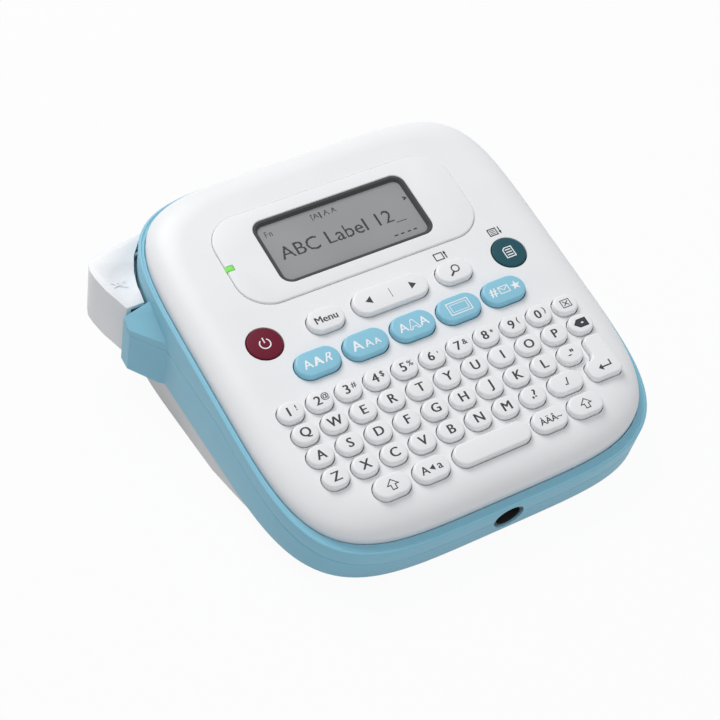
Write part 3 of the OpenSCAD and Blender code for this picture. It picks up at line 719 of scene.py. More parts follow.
@dataclass
class Legend:
    """Flat marks printed on a surface, gathered into one piece."""

    level: float
    solid: Solid = field(default_factory=Solid)

    def area(self, points: Sequence[Point]) -> "Legend":
        """Fills an outline."""
        self.solid.prism(points, self.level, self.level + INK_T)
        return self

    def stroke(self, points: Sequence[Point], width: float, closed: bool = False) -> "Legend":
        """Draws a line of even width through points, mitred at its turns.

        Args:
            points: Where the line runs.
            width: The line's width.
            closed: Whether the last point joins the first.

        Returns:
            This legend.
        """
        line = [Vector(p) for p in points]
        n = len(line)
        left, right = [], []
        for i, p in enumerate(line):
            before = line[i - 1] if closed or i > 0 else None
            after = line[(i + 1) % n] if closed or i < n - 1 else None
            u = (p - before).normalized() if before is not None else (after - p).normalized()
            v = (after - p).normalized() if after is not None else u
            nu, nv = Vector((-u.y, u.x)), Vector((-v.y, v.x))
            off = (nu + nv) / max(1 + nu.dot(nv), 0.35) * width / 2
            left.append(p + off)
            right.append(p - off)
        spans = n if closed else n - 1
        for i in range(spans):
            j = (i + 1) % n
            self.area([tuple(right[i]), tuple(right[j]), tuple(left[j]), tuple(left[i])])
        return self

    def box(self, low: Point, high: Point, width: float) -> "Legend":
        """Draws a rectangle from its lowest to its highest corner."""
        (x0, y0), (x1, y1) = low, high
        return self.stroke([(x0, y0), (x1, y0), (x1, y1), (x0, y1)], width, True)

    def arc(self, x: float, y: float, r: float, width: float, start: float = 0.0,
            end: float = 360.0, steps: int = 20) -> "Legend":
        """Draws part of a circle, or all of it.

        Args:
            x: Middle across.
            y: Middle up the deck.
            r: Radius of the line's middle.
            width: The line's width.
            start: Where it starts, in degrees.
            end: Where it ends, in degrees.
            steps: How many spans it has.

        Returns:
            This legend.
        """
        whole = end - start >= 360
        count = steps if whole else steps + 1
        points = [(x + r * math.cos(math.radians(start + (end - start) * i / steps)),
                   y + r * math.sin(math.radians(start + (end - start) * i / steps))) for i in range(count)]
        return self.stroke(points, width, whole)

    def text(self, words: str, x: float, y: float, size: float, bold: float = 0.05,
             shear: float = 0.0) -> "Legend":
        """Writes words centred on a point.

        Args:
            words: What to write.
            x: Middle across.
            y: Middle up the deck.
            size: Size of the type.
            bold: How far the strokes are thickened to each side.
            shear: How much the type leans.

        Returns:
            This legend.
        """
        curve = bpy.data.curves.new("lettering", "FONT")
        curve.body = words
        curve.size = size
        curve.shear = shear
        curve.extrude = INK_T / 2
        curve.resolution_u = 3
        curve.align_x = "CENTER"
        obj = link(bpy.data.objects.new("lettering", curve))
        bpy.context.view_layer.update()
        mesh = evaluated(obj)
        bpy.data.objects.remove(obj)
        xs = [v.co.x for v in mesh.vertices]
        ys = [v.co.y for v in mesh.vertices]
        middle = Vector(((min(xs) + max(xs)) / 2, (min(ys) + max(ys)) / 2, -INK_T / 2))
        for side in (-1, 0, 1) if bold else (0,):
            place = Vector((x + side * bold, y, self.level + side * bold * 0.01))
            self.solid.add_mesh(mesh, Matrix.Translation(place - middle))
        bpy.data.meshes.remove(mesh)
        return self

    def piece(self, shop: Workshop, name: str, finish: Finish, body: str) -> bpy.types.Object:
        """Makes the marks a piece."""
        return shop.piece(name, self.solid.mesh(name), finish, body)


# --- Cases ---------------------------------------------------------------------------------------
@dataclass
class Cases:
    """The two halves of the case and the base tray, each a soft-edged skin round its moulded core."""

    shop: Workshop
    skin: float = 1.2
    rim_skin: float = 2.0
    rim_fall: float = 1.1
    proud: float = 0.04
    part_front: float = 15.1
    part_rear: float = 22.95
    part_bend: float = -9.0
    part_root: float = 26.0
    edge_front: float = 23.4
    edge_slope: float = 10.5
    seam: float = 0.22
    rim_round: float = 0.7
    edge_round: float = 0.7
    tray_inset: float = 1.0
    tray_gap: float = 0.3
    tray_front_t: float = 1.6
    tray_floor: float = 0.8
    arch_from: float = -34.4
    arch_to: float = -8.4
    rear_depth: float = 23.0
    core_depth: float = 0.25
    socket_r: float = 5.7
    outline: Bowed = field(init=False)
    rim_top: float = field(init=False)
    rear_foot: float = field(init=False)

    def __post_init__(self) -> None:
        """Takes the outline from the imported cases."""
        low, high = self.shop.deck.extent("upper_case")
        half_w = high.x
        self.outline = Bowed(half_w, (high.y - low.y) / 2, (high.y + low.y) / 2)
        self.rim_top = high.z
        tilt = self.shop.deck.tilt
        self.rear_foot = high.y * math.cos(tilt) + self.rear_depth * math.sin(tilt)

    def rear_at(self, w: float) -> float:
        """Where the upright rear wall stands at a depth."""
        tilt = self.shop.deck.tilt
        return (self.rear_foot + w * math.sin(tilt)) / math.cos(tilt)

    def parting(self, y: float) -> float:
        """Height of the parting line at a place along the deck."""
        share = (y - self.part_bend) / (self.part_root - self.part_bend)
        return -self.part_front - (self.part_rear - self.part_front) * max(0.0, min(1.0, share))

    def edge(self, y: float) -> float:
        """Height of the lower case's edge at a place along the deck."""
        return -self.edge_front - (y - self.outline.y + self.outline.half_l) * math.tan(
            math.radians(self.edge_slope))

    def tray_low(self, y: float) -> float:
        """Height of the tray's underside: a thin front plate, an arch, and the part on the table."""
        deck = self.shop.deck
        floor_z = self.tray_floor - deck.origin.z / MM
        on_table = (floor_z - y * math.sin(deck.tilt)) / math.cos(deck.tilt)
        arch_y, deep_y = self.arch_from, self.arch_to
        plate = self.edge(y) - self.tray_gap - self.tray_front_t
        at_arch = self.edge(arch_y) - self.tray_gap - self.tray_front_t
        at_deep = (floor_z - deep_y * math.sin(deck.tilt)) / math.cos(deck.tilt)
        if y < arch_y:
            return plate
        if y < deep_y:
            return at_arch + (at_deep - at_arch) * (y - arch_y) / (deep_y - arch_y)
        return on_table

    def wall(self, outset: float, low: Callable[[float], float], high: Callable[[float], float],
             low_round: float, high_round: float, upright: bool = False, fall: float = 0.0) -> Solid:
        """A hoop of wall that follows the outline, with rounded edges outside.

        Args:
            outset: How far the wall stands outside the outline.
            low: Height of its lower edge at a place along the deck.
            high: Height of its upper edge.
            low_round: Radius of the lower edge.
            high_round: Radius of the upper edge.
            upright: Whether the upright rear wall cuts it off.
            fall: How far the top falls inwards, as on the rim, which is thicker.

        Returns:
            The hoop.
        """
        thick = self.rim_skin if fall else self.skin
        steps = 5
        turns = [math.radians(90 * k / steps) for k in range(steps + 1)]
        section = [(thick, 0.0, 0.0)]
        section += [(low_round * (1 - math.sin(t)), low_round * (1 - math.cos(t)), 0.0) for t in turns]
        section += [(high_round * (1 - math.cos(t)), -high_round * (1 - math.sin(t)), 1.0) for t in turns]
        section += [(thick, -fall, 1.0)]
        rings = []
        for inset, rise, part in section:
            ring = []
            for p in self.outline.ring(inset - outset, 0.0):
                y = p.y
                for _ in range(3 if upright else 1):
                    w = (high(y) if part else low(y)) + rise
                    y = min(p.y, self.rear_at(w) - inset + outset) if upright else p.y
                ring.append(Vector((p.x, y, w)))
            rings.append(ring)
        return Solid().loft(rings, closed=True)

    def core(self, node: str, outset: float = 0.0, rim: bool = False) -> bpy.types.Mesh:
        """A copy of a CAD node whose outer face is drawn in, so that a skin can cover it.

        Args:
            node: The CAD node.
            outset: How far its outer face stands outside the case's outline.
            rim: Whether the outer edge of its top is lowered too.

        Returns:
            The mesh, in the deck's frame.
        """
        mesh = self.shop.deck.nodes[node].data.copy()
        mesh.transform(self.shop.deck.matrix.inverted())
        drawn = Bowed(self.outline.half_w + outset, self.outline.half_l + outset, self.outline.y)
        target = self.skin - self.core_depth
        for v in mesh.vertices:
            share = drawn.share(v.co)
            if rim and abs(v.co.z - self.rim_top) < 0.05:
                v.co.z -= self.rim_fall
            if 0.994 < share < 1.004:
                scale = 1 - target / min(drawn.half_w, drawn.half_l)
                v.co.x *= scale
                v.co.y = drawn.y + (v.co.y - drawn.y) * scale
        return outwards(mesh, 0.002)

    def openings(self) -> bpy.types.Object:
        """The holes in the case's wall, for the tape and for the power socket."""
        jack_low, jack_high = self.shop.deck.extent("power_jack")
        tape_low, tape_high = self.shop.deck.extent("label_tape")
        solid = Solid()
        x, w = (jack_low.x + jack_high.x) / 2, -self.part_front
        rings = []
        for y in (jack_low.y - 8, jack_low.y + 6):
            rings.append([Vector((x + self.socket_r * math.cos(a), y, w + self.socket_r * math.sin(a)))
                          for a in (2 * math.pi * i / 48 for i in range(48))])
        solid.loft(rings)
        y = (tape_low.y + tape_high.y) / 2
        solid.prism([(-self.outline.half_w - 4, y - 1), (-self.outline.half_w + 6, y - 1),
                     (-self.outline.half_w + 6, y + 2.2), (-self.outline.half_w - 4, y + 2.2)],
                    tape_low.z - 1.5, tape_high.z + 1.5)
        return solid.scratch("openings")

    def build(self) -> None:
        """Makes the skins and the cores."""
        shop, seam = self.shop, self.seam / 2
        top = self.rim_top

        def upper_low(y: float) -> float:
            return self.parting(y) + seam

        def lower_high(y: float) -> float:
            return self.parting(y) - seam

        def tray_high(y: float) -> float:
            return self.edge(y) - self.tray_gap

        upper = self.wall(self.proud, upper_low, lambda y: top + 0.02, 0.25, self.rim_round,
                          fall=self.rim_fall)
        lower = self.wall(self.proud, self.edge, lower_high, self.edge_round, 0.25, True)
        tray = self.wall(self.proud - self.tray_inset, self.tray_low, tray_high, self.edge_round, 0.3, True)
        for name, solid, finish, slot, body, node in (
                ("upper_case_skin", upper, BLUE, Slot.BLUE_CASE, "machine", "upper_case"),
                ("lower_case_skin", lower, BLUE, Slot.BLUE_CASE, "machine", "lower_case"),
                ("bottom_cover_skin", tray, TRAY, Slot.GREY_TRAY, "base", "bottom_cover")):
            scratch = solid.scratch(name + "_work")
            if body == "machine":
                carve(scratch, self.openings())
            mesh = scratch.data.copy()
            bpy.data.objects.remove(scratch)
            shop.piece(name, mesh, finish, body, slot, (node,), 30)
            outset = -self.tray_inset if body == "base" else 0.0
            shop.piece(name.replace("skin", "core"), self.core(node, outset, node == "upper_case"),
                       finish, body, slot, (node,), 20)


# --- Cover and display ---------------------------------------------------------------------------
@dataclass
class Cover:
    """The white top cover with its rolled edge and the holes for the keys and the display."""

    shop: Workshop
    holes: list[Rounded]
    roll: float = 11.0
    shoulder: float = 6.3
    thickness: float = 2.0
    flare: float = 0.14
    flare_depth: float = 0.16
    gap: float = 0.35
    steps: int = 14

    def section(self, inset: float) -> list[tuple[float, float]]:
        """The rolled edge's section, from the shoulder up to the flat: inset and height."""
        turns = [math.radians(90 * k / self.steps) for k in range(self.steps + 1)]
        return [(inset + self.roll * (1 - math.cos(t)), self.shoulder * (math.sin(t) - 1) - inset)
                for t in turns]

    def build(self) -> None:
        """Makes the cover and cuts its holes."""
        low, high = self.shop.deck.extent("top_cover")
        outline = Bowed((high.x - low.x) / 2, (high.y - low.y) / 2, (high.y + low.y) / 2)
        skirt = low.z
        outer = [(0.0, skirt)] + self.section(0.0)
        inner = [(self.thickness, skirt)] + self.section(self.thickness)
        rings = [outline.ring(i, w) for i, w in reversed(inner)] + [outline.ring(i, w) for i, w in outer]
        cover = Solid().loft(rings).scratch("cover_work")
        carve(cover, self.cutters())
        mesh = cover.data.copy()
        bpy.data.objects.remove(cover)
        self.shop.piece("top_cover_shell", mesh, WHITE, "machine", Slot.WHITE_PLASTIC, ("top_cover",), 24)

    def cutters(self) -> bpy.types.Object:
        """All the holes, each flared at the top."""
        solid = Solid()
        for hole in self.holes:
            solid.loft([hole.ring(-self.gap, -4.0), hole.ring(-self.gap, -self.flare_depth),
                        hole.ring(-self.gap - self.flare, 0.02), hole.ring(-self.gap - self.flare, 2.0)])
        bezel = Box.around(self.shop.deck.extent("display_bezel", True))
        wide = bezel.grown(0.3, 12.2, 12)
        deep = bezel.grown(-3.2, 10.4, 12)
        solid.loft([deep.ring(0, -4.0), deep.ring(0, -0.8), wide.ring(0, -0.79), wide.ring(0, -0.15),
                    wide.ring(-0.15, 0.02), wide.ring(-0.15, 2.0)])
        return solid.scratch("cover_holes")


@dataclass
class Display:
    """The raised bezel, the window's dark frame, the panel with its dots, and the lamp."""

    shop: Workshop
    frame_w: float = 1.7
    well: float = 1.2
    edge: float = 0.55
    corner: float = 12.0
    lamp_border: float = 0.5
    dot_pitch: float = 0.27

    def build(self) -> None:
        """Makes the display's pieces."""
        deck = self.shop.deck
        corners = deck.extent("display_bezel", True)
        window = Box.around(deck.extent("display_window", True))
        top = corners[1].z
        self._bezel(Box.around(corners), window, top)
        self._window(window, top)
        self._lamp()

    def _bezel(self, bezel: Box, window: Box, top: float) -> None:
        """Makes the raised plate, with a soft edge and its holes.

        Args:
            bezel: The plate's rectangle.
            window: The window's rectangle.
            top: Height of the plate.
        """
        plate = bezel.grown(0.0, self.corner, 12)
        under = bezel.grown(-3.6, 10.2, 12)
        rings = [under.ring(0, -2.0), under.ring(0, -0.76), plate.ring(0, -0.75),
                 plate.ring(0, top - self.edge)]
        for t in (math.radians(degrees) for degrees in (22, 45, 67, 90)):
            rings.append(plate.ring(self.edge * (1 - math.cos(t)), top - self.edge * (1 - math.sin(t))))
        body = Solid().loft(rings).scratch("bezel_work")
        hole = window.grown(0.2, 4.5, 8)
        cutter = Solid().loft([hole.ring(0, -5), hole.ring(0, top - 0.25), hole.ring(-0.3, top + 0.05),
                               hole.ring(-0.3, 3)])
        lamp = Box.around(self.shop.deck.extent("status_lamp")).grown(self.lamp_border, 0.3, 2)
        cutter.loft([lamp.ring(0, -5), lamp.ring(0, 3)])
        carve(body, cutter.scratch("bezel_holes"))
        mesh = body.data.copy()
        bpy.data.objects.remove(body)
        self.shop.piece("bezel_plate", mesh, WHITE, "machine", Slot.WHITE_PLASTIC, ("display_bezel",), 24)

    def _window(self, window: Box, top: float) -> None:
        """Makes the dark frame that slopes down to the panel, and the panel with its dots."""
        outer = window.grown(0.0, 4.4, 8)
        level = top - 0.2
        floor = level - self.well
        rings = [outer.ring(0, floor - 0.7), outer.ring(0, level - 0.12), outer.ring(0.12, level),
                 outer.ring(0.9, level - 0.05), outer.ring(self.frame_w, floor),
                 outer.ring(self.frame_w, floor - 0.7)]
        self.shop.piece("window_frame", Solid().loft(rings, closed=True).mesh("window_frame"), FRAME_GREY,
                        "machine", Slot.WINDOW_DARK, ("display_window",), 20)
        pane = Solid().loft([outer.ring(self.frame_w - 0.05, floor - 0.6),
                             outer.ring(self.frame_w - 0.05, floor - 0.12)])
        self.shop.piece("lcd_panel", pane.mesh("lcd_panel"), LCD, "machine", Slot.LCD_GLASS,
                        ("display_window",), 30)
        inside = Box(window.x, window.y, window.w - 2 * self.frame_w, window.l - 2 * self.frame_w)
        self._dots(inside, floor - 0.12)

    def _dots(self, inside: Box, level: float) -> None:
        """Makes what the panel shows, as square dots where a grid falls on the letters."""
        x, y, w, l = inside.x, inside.y, inside.w, inside.l
        marks = Legend(level)
        marks.text("ABC Label 12_", x - 1.0, y - 1.5, 8.0, 0.0)
        marks.text("[A] A A", x - 3.0, y + l / 2 - 3.4, 3.2, 0.0)
        marks.text("Fn", x - w / 2 + 3.4, y + l / 2 - 3.8, 3.4, 0.0)
        right, foot = x + w / 2, y - l / 2 + 2.6
        marks.stroke([(right - 2.0, y + 4.6), (right - 0.9, y + 3.9), (right - 2.0, y + 3.2)], 0.6)
        for i in range(4):
            marks.stroke([(right - 13.0 + 2.6 * i, foot), (right - 11.6 + 2.6 * i, foot)], 0.5)
        letters = marks.solid.scratch("panel_letters")
        mesh = DotMatrix().mesh(letters, x, y, w, l, level, self.dot_pitch)
        bpy.data.objects.remove(letters)
        self.shop.piece("panel_dots", mesh, PIXEL, "machine", crease=30)

    def _lamp(self) -> None:
        """The light pipe, with a rounded top."""
        low, high = self.shop.deck.extent("status_lamp")
        pipe = Box.around((low, high)).grown(0.0, 0.3, 3)
        rings = [pipe.ring(0, low.z), pipe.ring(0, high.z - 0.1), pipe.ring(0.1, high.z + 0.02),
                 pipe.ring(0.35, high.z + 0.06)]
        self.shop.piece("lamp_pipe", Solid().loft(rings).mesh("lamp_pipe"), GREEN, "machine",
                        Slot.LAMP_GREEN, ("status_lamp",), 40)


# --- Node trees ----------------------------------------------------------------------------------
class Tree:
    """A Geometry Nodes tree with named inputs, built step by step."""

    def __init__(self, name: str, inputs: dict[str, str]) -> None:
        """Starts a tree.

        Args:
            name: The tree's name.
            inputs: Each input's name and socket type.
        """
        self.tree = bpy.data.node_groups.new(name, "GeometryNodeTree")
        self.tree.interface.new_socket("Geometry", in_out="INPUT", socket_type="NodeSocketGeometry")
        self.sockets = {n: self.tree.interface.new_socket(n, in_out="INPUT", socket_type=k)
                        for n, k in inputs.items()}
        self.tree.interface.new_socket("Geometry", in_out="OUTPUT", socket_type="NodeSocketGeometry")
        self.entry = self.tree.nodes.new("NodeGroupInput")
        self.exit = self.tree.nodes.new("NodeGroupOutput")

    def node(self, kind: str, settings: dict[str, Any] | None = None,
             inputs: dict[Any, Any] | None = None) -> bpy.types.Node:
        """Adds a node with its settings, and values or links for its inputs."""
        made = self.tree.nodes.new(kind)
        for key, value in (settings or {}).items():
            setattr(made, key, value)
        for key, value in (inputs or {}).items():
            if isinstance(value, bpy.types.NodeSocket):
                self.tree.links.new(value, made.inputs[key])
            else:
                made.inputs[key].default_value = value
        return made

    def close(self, instances: bpy.types.NodeSocket) -> None:
        """Ends the tree: instances made real, then dressed."""
        real = self.node("GeometryNodeRealizeInstances", {}, {"Geometry": instances})
        dressed = self.node("GeometryNodeSetMaterial", {}, {
            "Geometry": real.outputs[0], "Material": self.entry.outputs["Material"]})
        self.tree.links.new(dressed.outputs[0], self.exit.inputs[0])

    def run(self, values: dict[str, Any]) -> bpy.types.Mesh:
        """Evaluates the tree on an empty mesh.

        Args:
            values: A value for each named input.

        Returns:
            The result as a plain mesh.
        """
        obj = link(bpy.data.objects.new("nodes_work", bpy.data.meshes.new("nodes_work")))
        modifier = obj.modifiers.new("nodes", "NODES")
        modifier.node_group = self.tree
        for name, value in values.items():
            modifier[self.sockets[name].identifier] = value
        bpy.context.view_layer.update()
        mesh = evaluated(obj)
        obj.modifiers.remove(modifier)
        bpy.data.objects.remove(obj)
        return mesh


class DotMatrix:
    """A grid of square dots, kept where they fall on some letters."""

    def __init__(self) -> None:
        """Builds the tree."""
        tree = Tree("dot_matrix", {
            "Letters": "NodeSocketObject", "Middle": "NodeSocketVector", "Width": "NodeSocketFloat",
            "Length": "NodeSocketFloat", "Columns": "NodeSocketInt", "Rows": "NodeSocketInt",
            "Dot": "NodeSocketFloat", "Material": "NodeSocketMaterial"})
        self.tree = tree
        given = tree.entry.outputs
        grid = tree.node("GeometryNodeMeshGrid", {}, {
            "Size X": given["Width"], "Size Y": given["Length"], "Vertices X": given["Columns"],
            "Vertices Y": given["Rows"]})
        placed = tree.node("GeometryNodeTransform", {}, {
            "Geometry": grid.outputs["Mesh"], "Translation": given["Middle"]})
        points = tree.node("GeometryNodeMeshToPoints", {}, {"Mesh": placed.outputs[0]})
        letters = tree.node("GeometryNodeObjectInfo", {}, {"Object": given["Letters"]})
        here = tree.node("GeometryNodeInputPosition")
        above = tree.node("ShaderNodeVectorMath", {"operation": "ADD"}, {0: here.outputs[0], 1: (0, 0, 1)})
        ray = tree.node("GeometryNodeRaycast", {}, {
            "Target Geometry": letters.outputs["Geometry"], "Source Position": above.outputs[0],
            "Ray Direction": (0, 0, -1), "Ray Length": 3.0})
        miss = tree.node("FunctionNodeBooleanMath", {"operation": "NOT"}, {0: ray.outputs["Is Hit"]})
        kept = tree.node("GeometryNodeDeleteGeometry", {"domain": "POINT"}, {
            "Geometry": points.outputs[0], "Selection": miss.outputs[0]})
        flat = tree.node("ShaderNodeCombineXYZ", {}, {
            "X": given["Dot"], "Y": given["Dot"], "Z": INK_T})
        dot = tree.node("GeometryNodeMeshCube", {}, {"Size": flat.outputs[0]})
        laid = tree.node("GeometryNodeInstanceOnPoints", {}, {
            "Points": kept.outputs[0], "Instance": dot.outputs["Mesh"]})
        tree.close(laid.outputs[0])

    def mesh(self, letters: bpy.types.Object, x: float, y: float, w: float, l: float, level: float,
             pitch: float) -> bpy.types.Mesh:
        """Lays the dots on a panel and keeps those on the letters.

        Args:
            letters: The lettering that the dots show.
            x: Middle of the panel across.
            y: Middle of the panel up the deck.
            w: Width of the grid.
            l: Length of the grid.
            level: Height of the panel.
            pitch: Distance between dots.

        Returns:
            The dots.
        """
        return self.tree.run({
            "Letters": letters, "Middle": (x, y, level + INK_T / 2), "Width": w, "Length": l,
            "Columns": round(w / pitch) + 1, "Rows": round(l / pitch) + 1, "Dot": pitch * 0.86,
            "Material": PIXEL.material()})


class KeyRow:
    """A row of equal keys at an even pitch."""

    def __init__(self) -> None:
        """Builds the tree."""
        tree = Tree("key_row", {
            "Cap": "NodeSocketObject", "Start": "NodeSocketVector", "Count": "NodeSocketInt",
            "Step": "NodeSocketVector", "Material": "NodeSocketMaterial"})
        self.tree = tree
        given = tree.entry.outputs
        line = tree.node("GeometryNodeMeshLine", {"mode": "OFFSET"}, {
            "Count": given["Count"], "Start Location": given["Start"], "Offset": given["Step"]})
        cap = tree.node("GeometryNodeObjectInfo", {}, {"Object": given["Cap"]})
        laid = tree.node("GeometryNodeInstanceOnPoints", {}, {
            "Points": line.outputs["Mesh"], "Instance": cap.outputs["Geometry"]})
        tree.close(laid.outputs[0])

    def mesh(self, cap: bpy.types.Object, x: float, y: float, count: int, pitch: float) -> bpy.types.Mesh:
        """Lays a row of keys.

        Args:
            cap: The key to repeat.
            x: Middle of the first key across.
            y: Middle of the row up the deck.
            count: How many keys.
            pitch: Distance between keys.

        Returns:
            The row.
        """
        return self.tree.run({"Cap": cap, "Start": (x, y, 0.0), "Count": count, "Step": (pitch, 0.0, 0.0),
                              "Material": KEY_WHITE.material()})


# --- Keyboard ------------------------------------------------------------------------------------
class Icon(Enum):
    """The marks that are drawn rather than written."""

    POWER = "power"
    PAGE = "page"
    CURSOR = "cursor"
    LENS = "lens"
    CLEAR = "clear"
    BACKSPACE = "backspace"
    ENTER = "enter"
    SHIFT = "shift"
    FRAME = "frame"
    SYMBOLS = "symbols"


@dataclass(frozen=True)
class Words:
    """Lettering on a key: what it says, its size, and its place beside the key's middle."""

    words: str
    size: float
    x: float = 0.0
    y: float = 0.0
    bold: float = 0.06
    shear: float = 0.0


@dataclass(frozen=True)
class Row:
    """A row of character keys: its node, its main characters and the small ones beside them."""

    node: str
    main: tuple[str, ...]
    small: tuple[str, ...] = ()


@dataclass
class Keyboard:
    """All the keys with their legends."""

    shop: Workshop
    fillet: float = 0.85
    collar: float = 0.5
    collar_t: float = 0.9
    collar_top: float = -2.5
    enter_riser: float = 7.6
    enter_foot: float = 7.8
    rows: tuple[Row, ...] = (
        Row("number_keys", tuple("1234567890"), tuple("!@#$%'&*()")),
        Row("upper_letter_keys", tuple("QWERTYUIOP")),
        Row("middle_letter_keys", tuple("ASDFGHJKL") + ("-\"",)),
        Row("lower_letter_keys", tuple("ZXCVBNM") + (",?",)))
    words: dict[str, tuple[Words, ...]] = field(default_factory=lambda: {
        "menu_key": (Words("Menu", 3.9, 0.0, 0.0, 0.09),),
        "period_key": (Words("./", 4.0, 0.0, 0.0, 0.1),),
        "accent_key": (Words("ÀÄÂ~", 3.3),),
        "caps_key": (Words("A", 4.2, -2.8), Words("a", 4.2, 2.8, -0.3)),
        "font_key": (Words("A", 4.8, -3.9), Words("A", 4.8, -0.1, 0.0, 0.2),
                     Words("R", 4.8, 3.7, 0.0, 0.04, 0.45)),
        "size_key": (Words("A", 5.6, -3.6, 0.0, 0.1), Words("A", 4.3, 0.6, -0.5),
                     Words("A", 3.4, 3.8, -0.8)),
        "style_key": (Words("A", 5.0, -4.0), Words("A", 5.0, 4.0))})
    icons: dict[str, Icon] = field(default_factory=lambda: {
        "power_key": Icon.POWER, "print_key": Icon.PAGE, "cursor_key": Icon.CURSOR,
        "search_key": Icon.LENS, "clear_key": Icon.CLEAR, "backspace_key": Icon.BACKSPACE,
        "enter_key": Icon.ENTER, "left_shift_key": Icon.SHIFT, "right_shift_key": Icon.SHIFT,
        "frame_key": Icon.FRAME, "symbol_key": Icon.SYMBOLS})
    pads: tuple[str, ...] = ("font_key", "size_key", "style_key", "frame_key", "symbol_key")
    rounds: tuple[str, ...] = ("power_key", "print_key")
    singles: tuple[str, ...] = (
        "menu_key", "cursor_key", "search_key", "clear_key", "backspace_key", "period_key",
        "left_shift_key", "caps_key", "space_key", "accent_key", "right_shift_key")

    def middle(self, node: str) -> tuple[float, float, float, float, float]:
        """A key's middle, width, length and top in the deck's frame."""
        low, high = self.shop.deck.extent(node, True)
        return (low.x + high.x) / 2, (low.y + high.y) / 2, high.x - low.x, high.y - low.y, high.z

    def outline(self, node: str) -> Rounded:
        """A key's outline."""
        x, y, w, l, _ = self.middle(node)
        return Rounded.plate(x, y, w, l, min(w, l) / 2 - 0.05, 14 if node in self.rounds else 8)

    def enter_outline(self) -> Rounded:
        """The enter key's outline: a foot with a riser at its right."""
        low, high = self.shop.deck.extent("enter_key", True)
        foot = low.y + self.enter_foot
        return Rounded(((high.x - self.enter_riser, foot), (low.x, foot), (low.x, low.y),
                        (high.x, low.y), (high.x, high.y), (high.x - self.enter_riser, high.y)), 2.6, 6)

    def row_places(self, row: Row) -> tuple[float, float, float, float, float, float]:
        """A row's first key's middle, the pitch, a key's width and length, and the top."""
        x, y, w, l, top = self.middle(row.node)
        key_w = self.middle("clear_key")[2]
        pitch = (w - key_w) / (len(row.main) - 1)
        return x - (w - key_w) / 2, y, pitch, key_w, l, top

    def holes(self) -> list[Rounded]:
        """An outline for each hole in the cover."""
        found = [self.outline(n) for n in self.singles + self.pads + self.rounds]
        found.append(self.enter_outline())
        for row in self.rows:
            x, y, pitch, w, l, _ = self.row_places(row)
            found += [Rounded.plate(x + i * pitch, y, w, l, l / 2 - 0.05, 8) for i in range(len(row.main))]
        return found

    def cap(self, outline: Rounded, top: float, fillet: float | None = None, dish: float = 0.0) -> Solid:
        """A key's cap: its collar, its sides, a rounded edge and its top.

        Args:
            outline: The key's outline.
            top: Height of its top.
            fillet: Radius of the top's edge.
            dish: How far the top is hollowed.

        Returns:
            The cap.
        """
        f = self.fillet if fillet is None else fillet
        rings = [outline.ring(-self.collar, self.collar_top - self.collar_t),
                 outline.ring(-self.collar, self.collar_top), outline.ring(0, self.collar_top)]
        for k in range(6):
            t = math.radians(90 * k / 5)
            rings.append(outline.ring(f * (1 - math.cos(t)), top - f * (1 - math.sin(t))))
        if dish:
            rings.append(outline.ring(f + 0.5, top - dish * 0.6))
            rings.append(outline.ring(f + 1.3, top - dish))
        return Solid().loft(rings)

    def build(self) -> None:
        """Makes the keys and their legends."""
        tree = KeyRow()
        for row in self.rows:
            x, y, pitch, w, l, top = self.row_places(row)
            cap = self.cap(Rounded.plate(0, 0, w, l, l / 2 - 0.05, 7), top).scratch("key_cap")
            mesh = outwards(tree.mesh(cap, x, y, len(row.main), pitch))
            bpy.data.objects.remove(cap)
            self.shop.piece(row.node + "_caps", mesh, KEY_WHITE, row.node + "_body", Slot.WHITE_PLASTIC,
                            (row.node,), 30)
            self.row_legend(row, x, y, pitch, top)
        for node in self.singles + self.pads + self.rounds:
            self.single(node)
        top = self.middle("enter_key")[4]
        mesh = self.cap(self.enter_outline(), top).mesh("enter_cap")
        self.shop.piece("enter_key_cap", mesh, KEY_WHITE, "enter_key_body", Slot.WHITE_PLASTIC,
                        ("enter_key",), 30)
        self.legend("enter_key")

    def single(self, node: str) -> None:
        """Makes one key that stands by itself."""
        top = self.middle(node)[4]
        finish, slot = KEY_WHITE, Slot.WHITE_PLASTIC
        if node in self.pads:
            finish, slot = BLUE_KEY, Slot.BLUE_KEY
        elif node == "power_key":
            finish, slot = RED, Slot.POWER_RED
        elif node == "print_key":
            finish, slot = TEAL, Slot.PRINT_TEAL
        body = "cursor_body" if node == "cursor_key" else node + "_body"
        solid = self.cap(self.outline(node), top, 0.5 if node in self.rounds else None)
        self.shop.piece(node + "_cap", solid.mesh(node), finish, body, slot, (node,), 30)
        if node != "space_key":
            self.legend(node)

    def row_legend(self, row: Row, x: float, y: float, pitch: float, top: float) -> None:
        """Prints a row's characters."""
        marks = Legend(top - 0.01)
        for i, character in enumerate(row.main):
            small = row.small[i] if row.small else ""
            pair = len(character) > 1
            marks.text(character, x + i * pitch - (0.9 if small else 0.0), y + (0.2 if pair else 0.0),
                       4.3 if pair else 4.9, 0.12)
            if small:
                marks.text(small, x + i * pitch + 2.0, y + 0.6, 3.0, 0.05)
        marks.piece(self.shop, row.node + "_legends", INK, row.node + "_body")

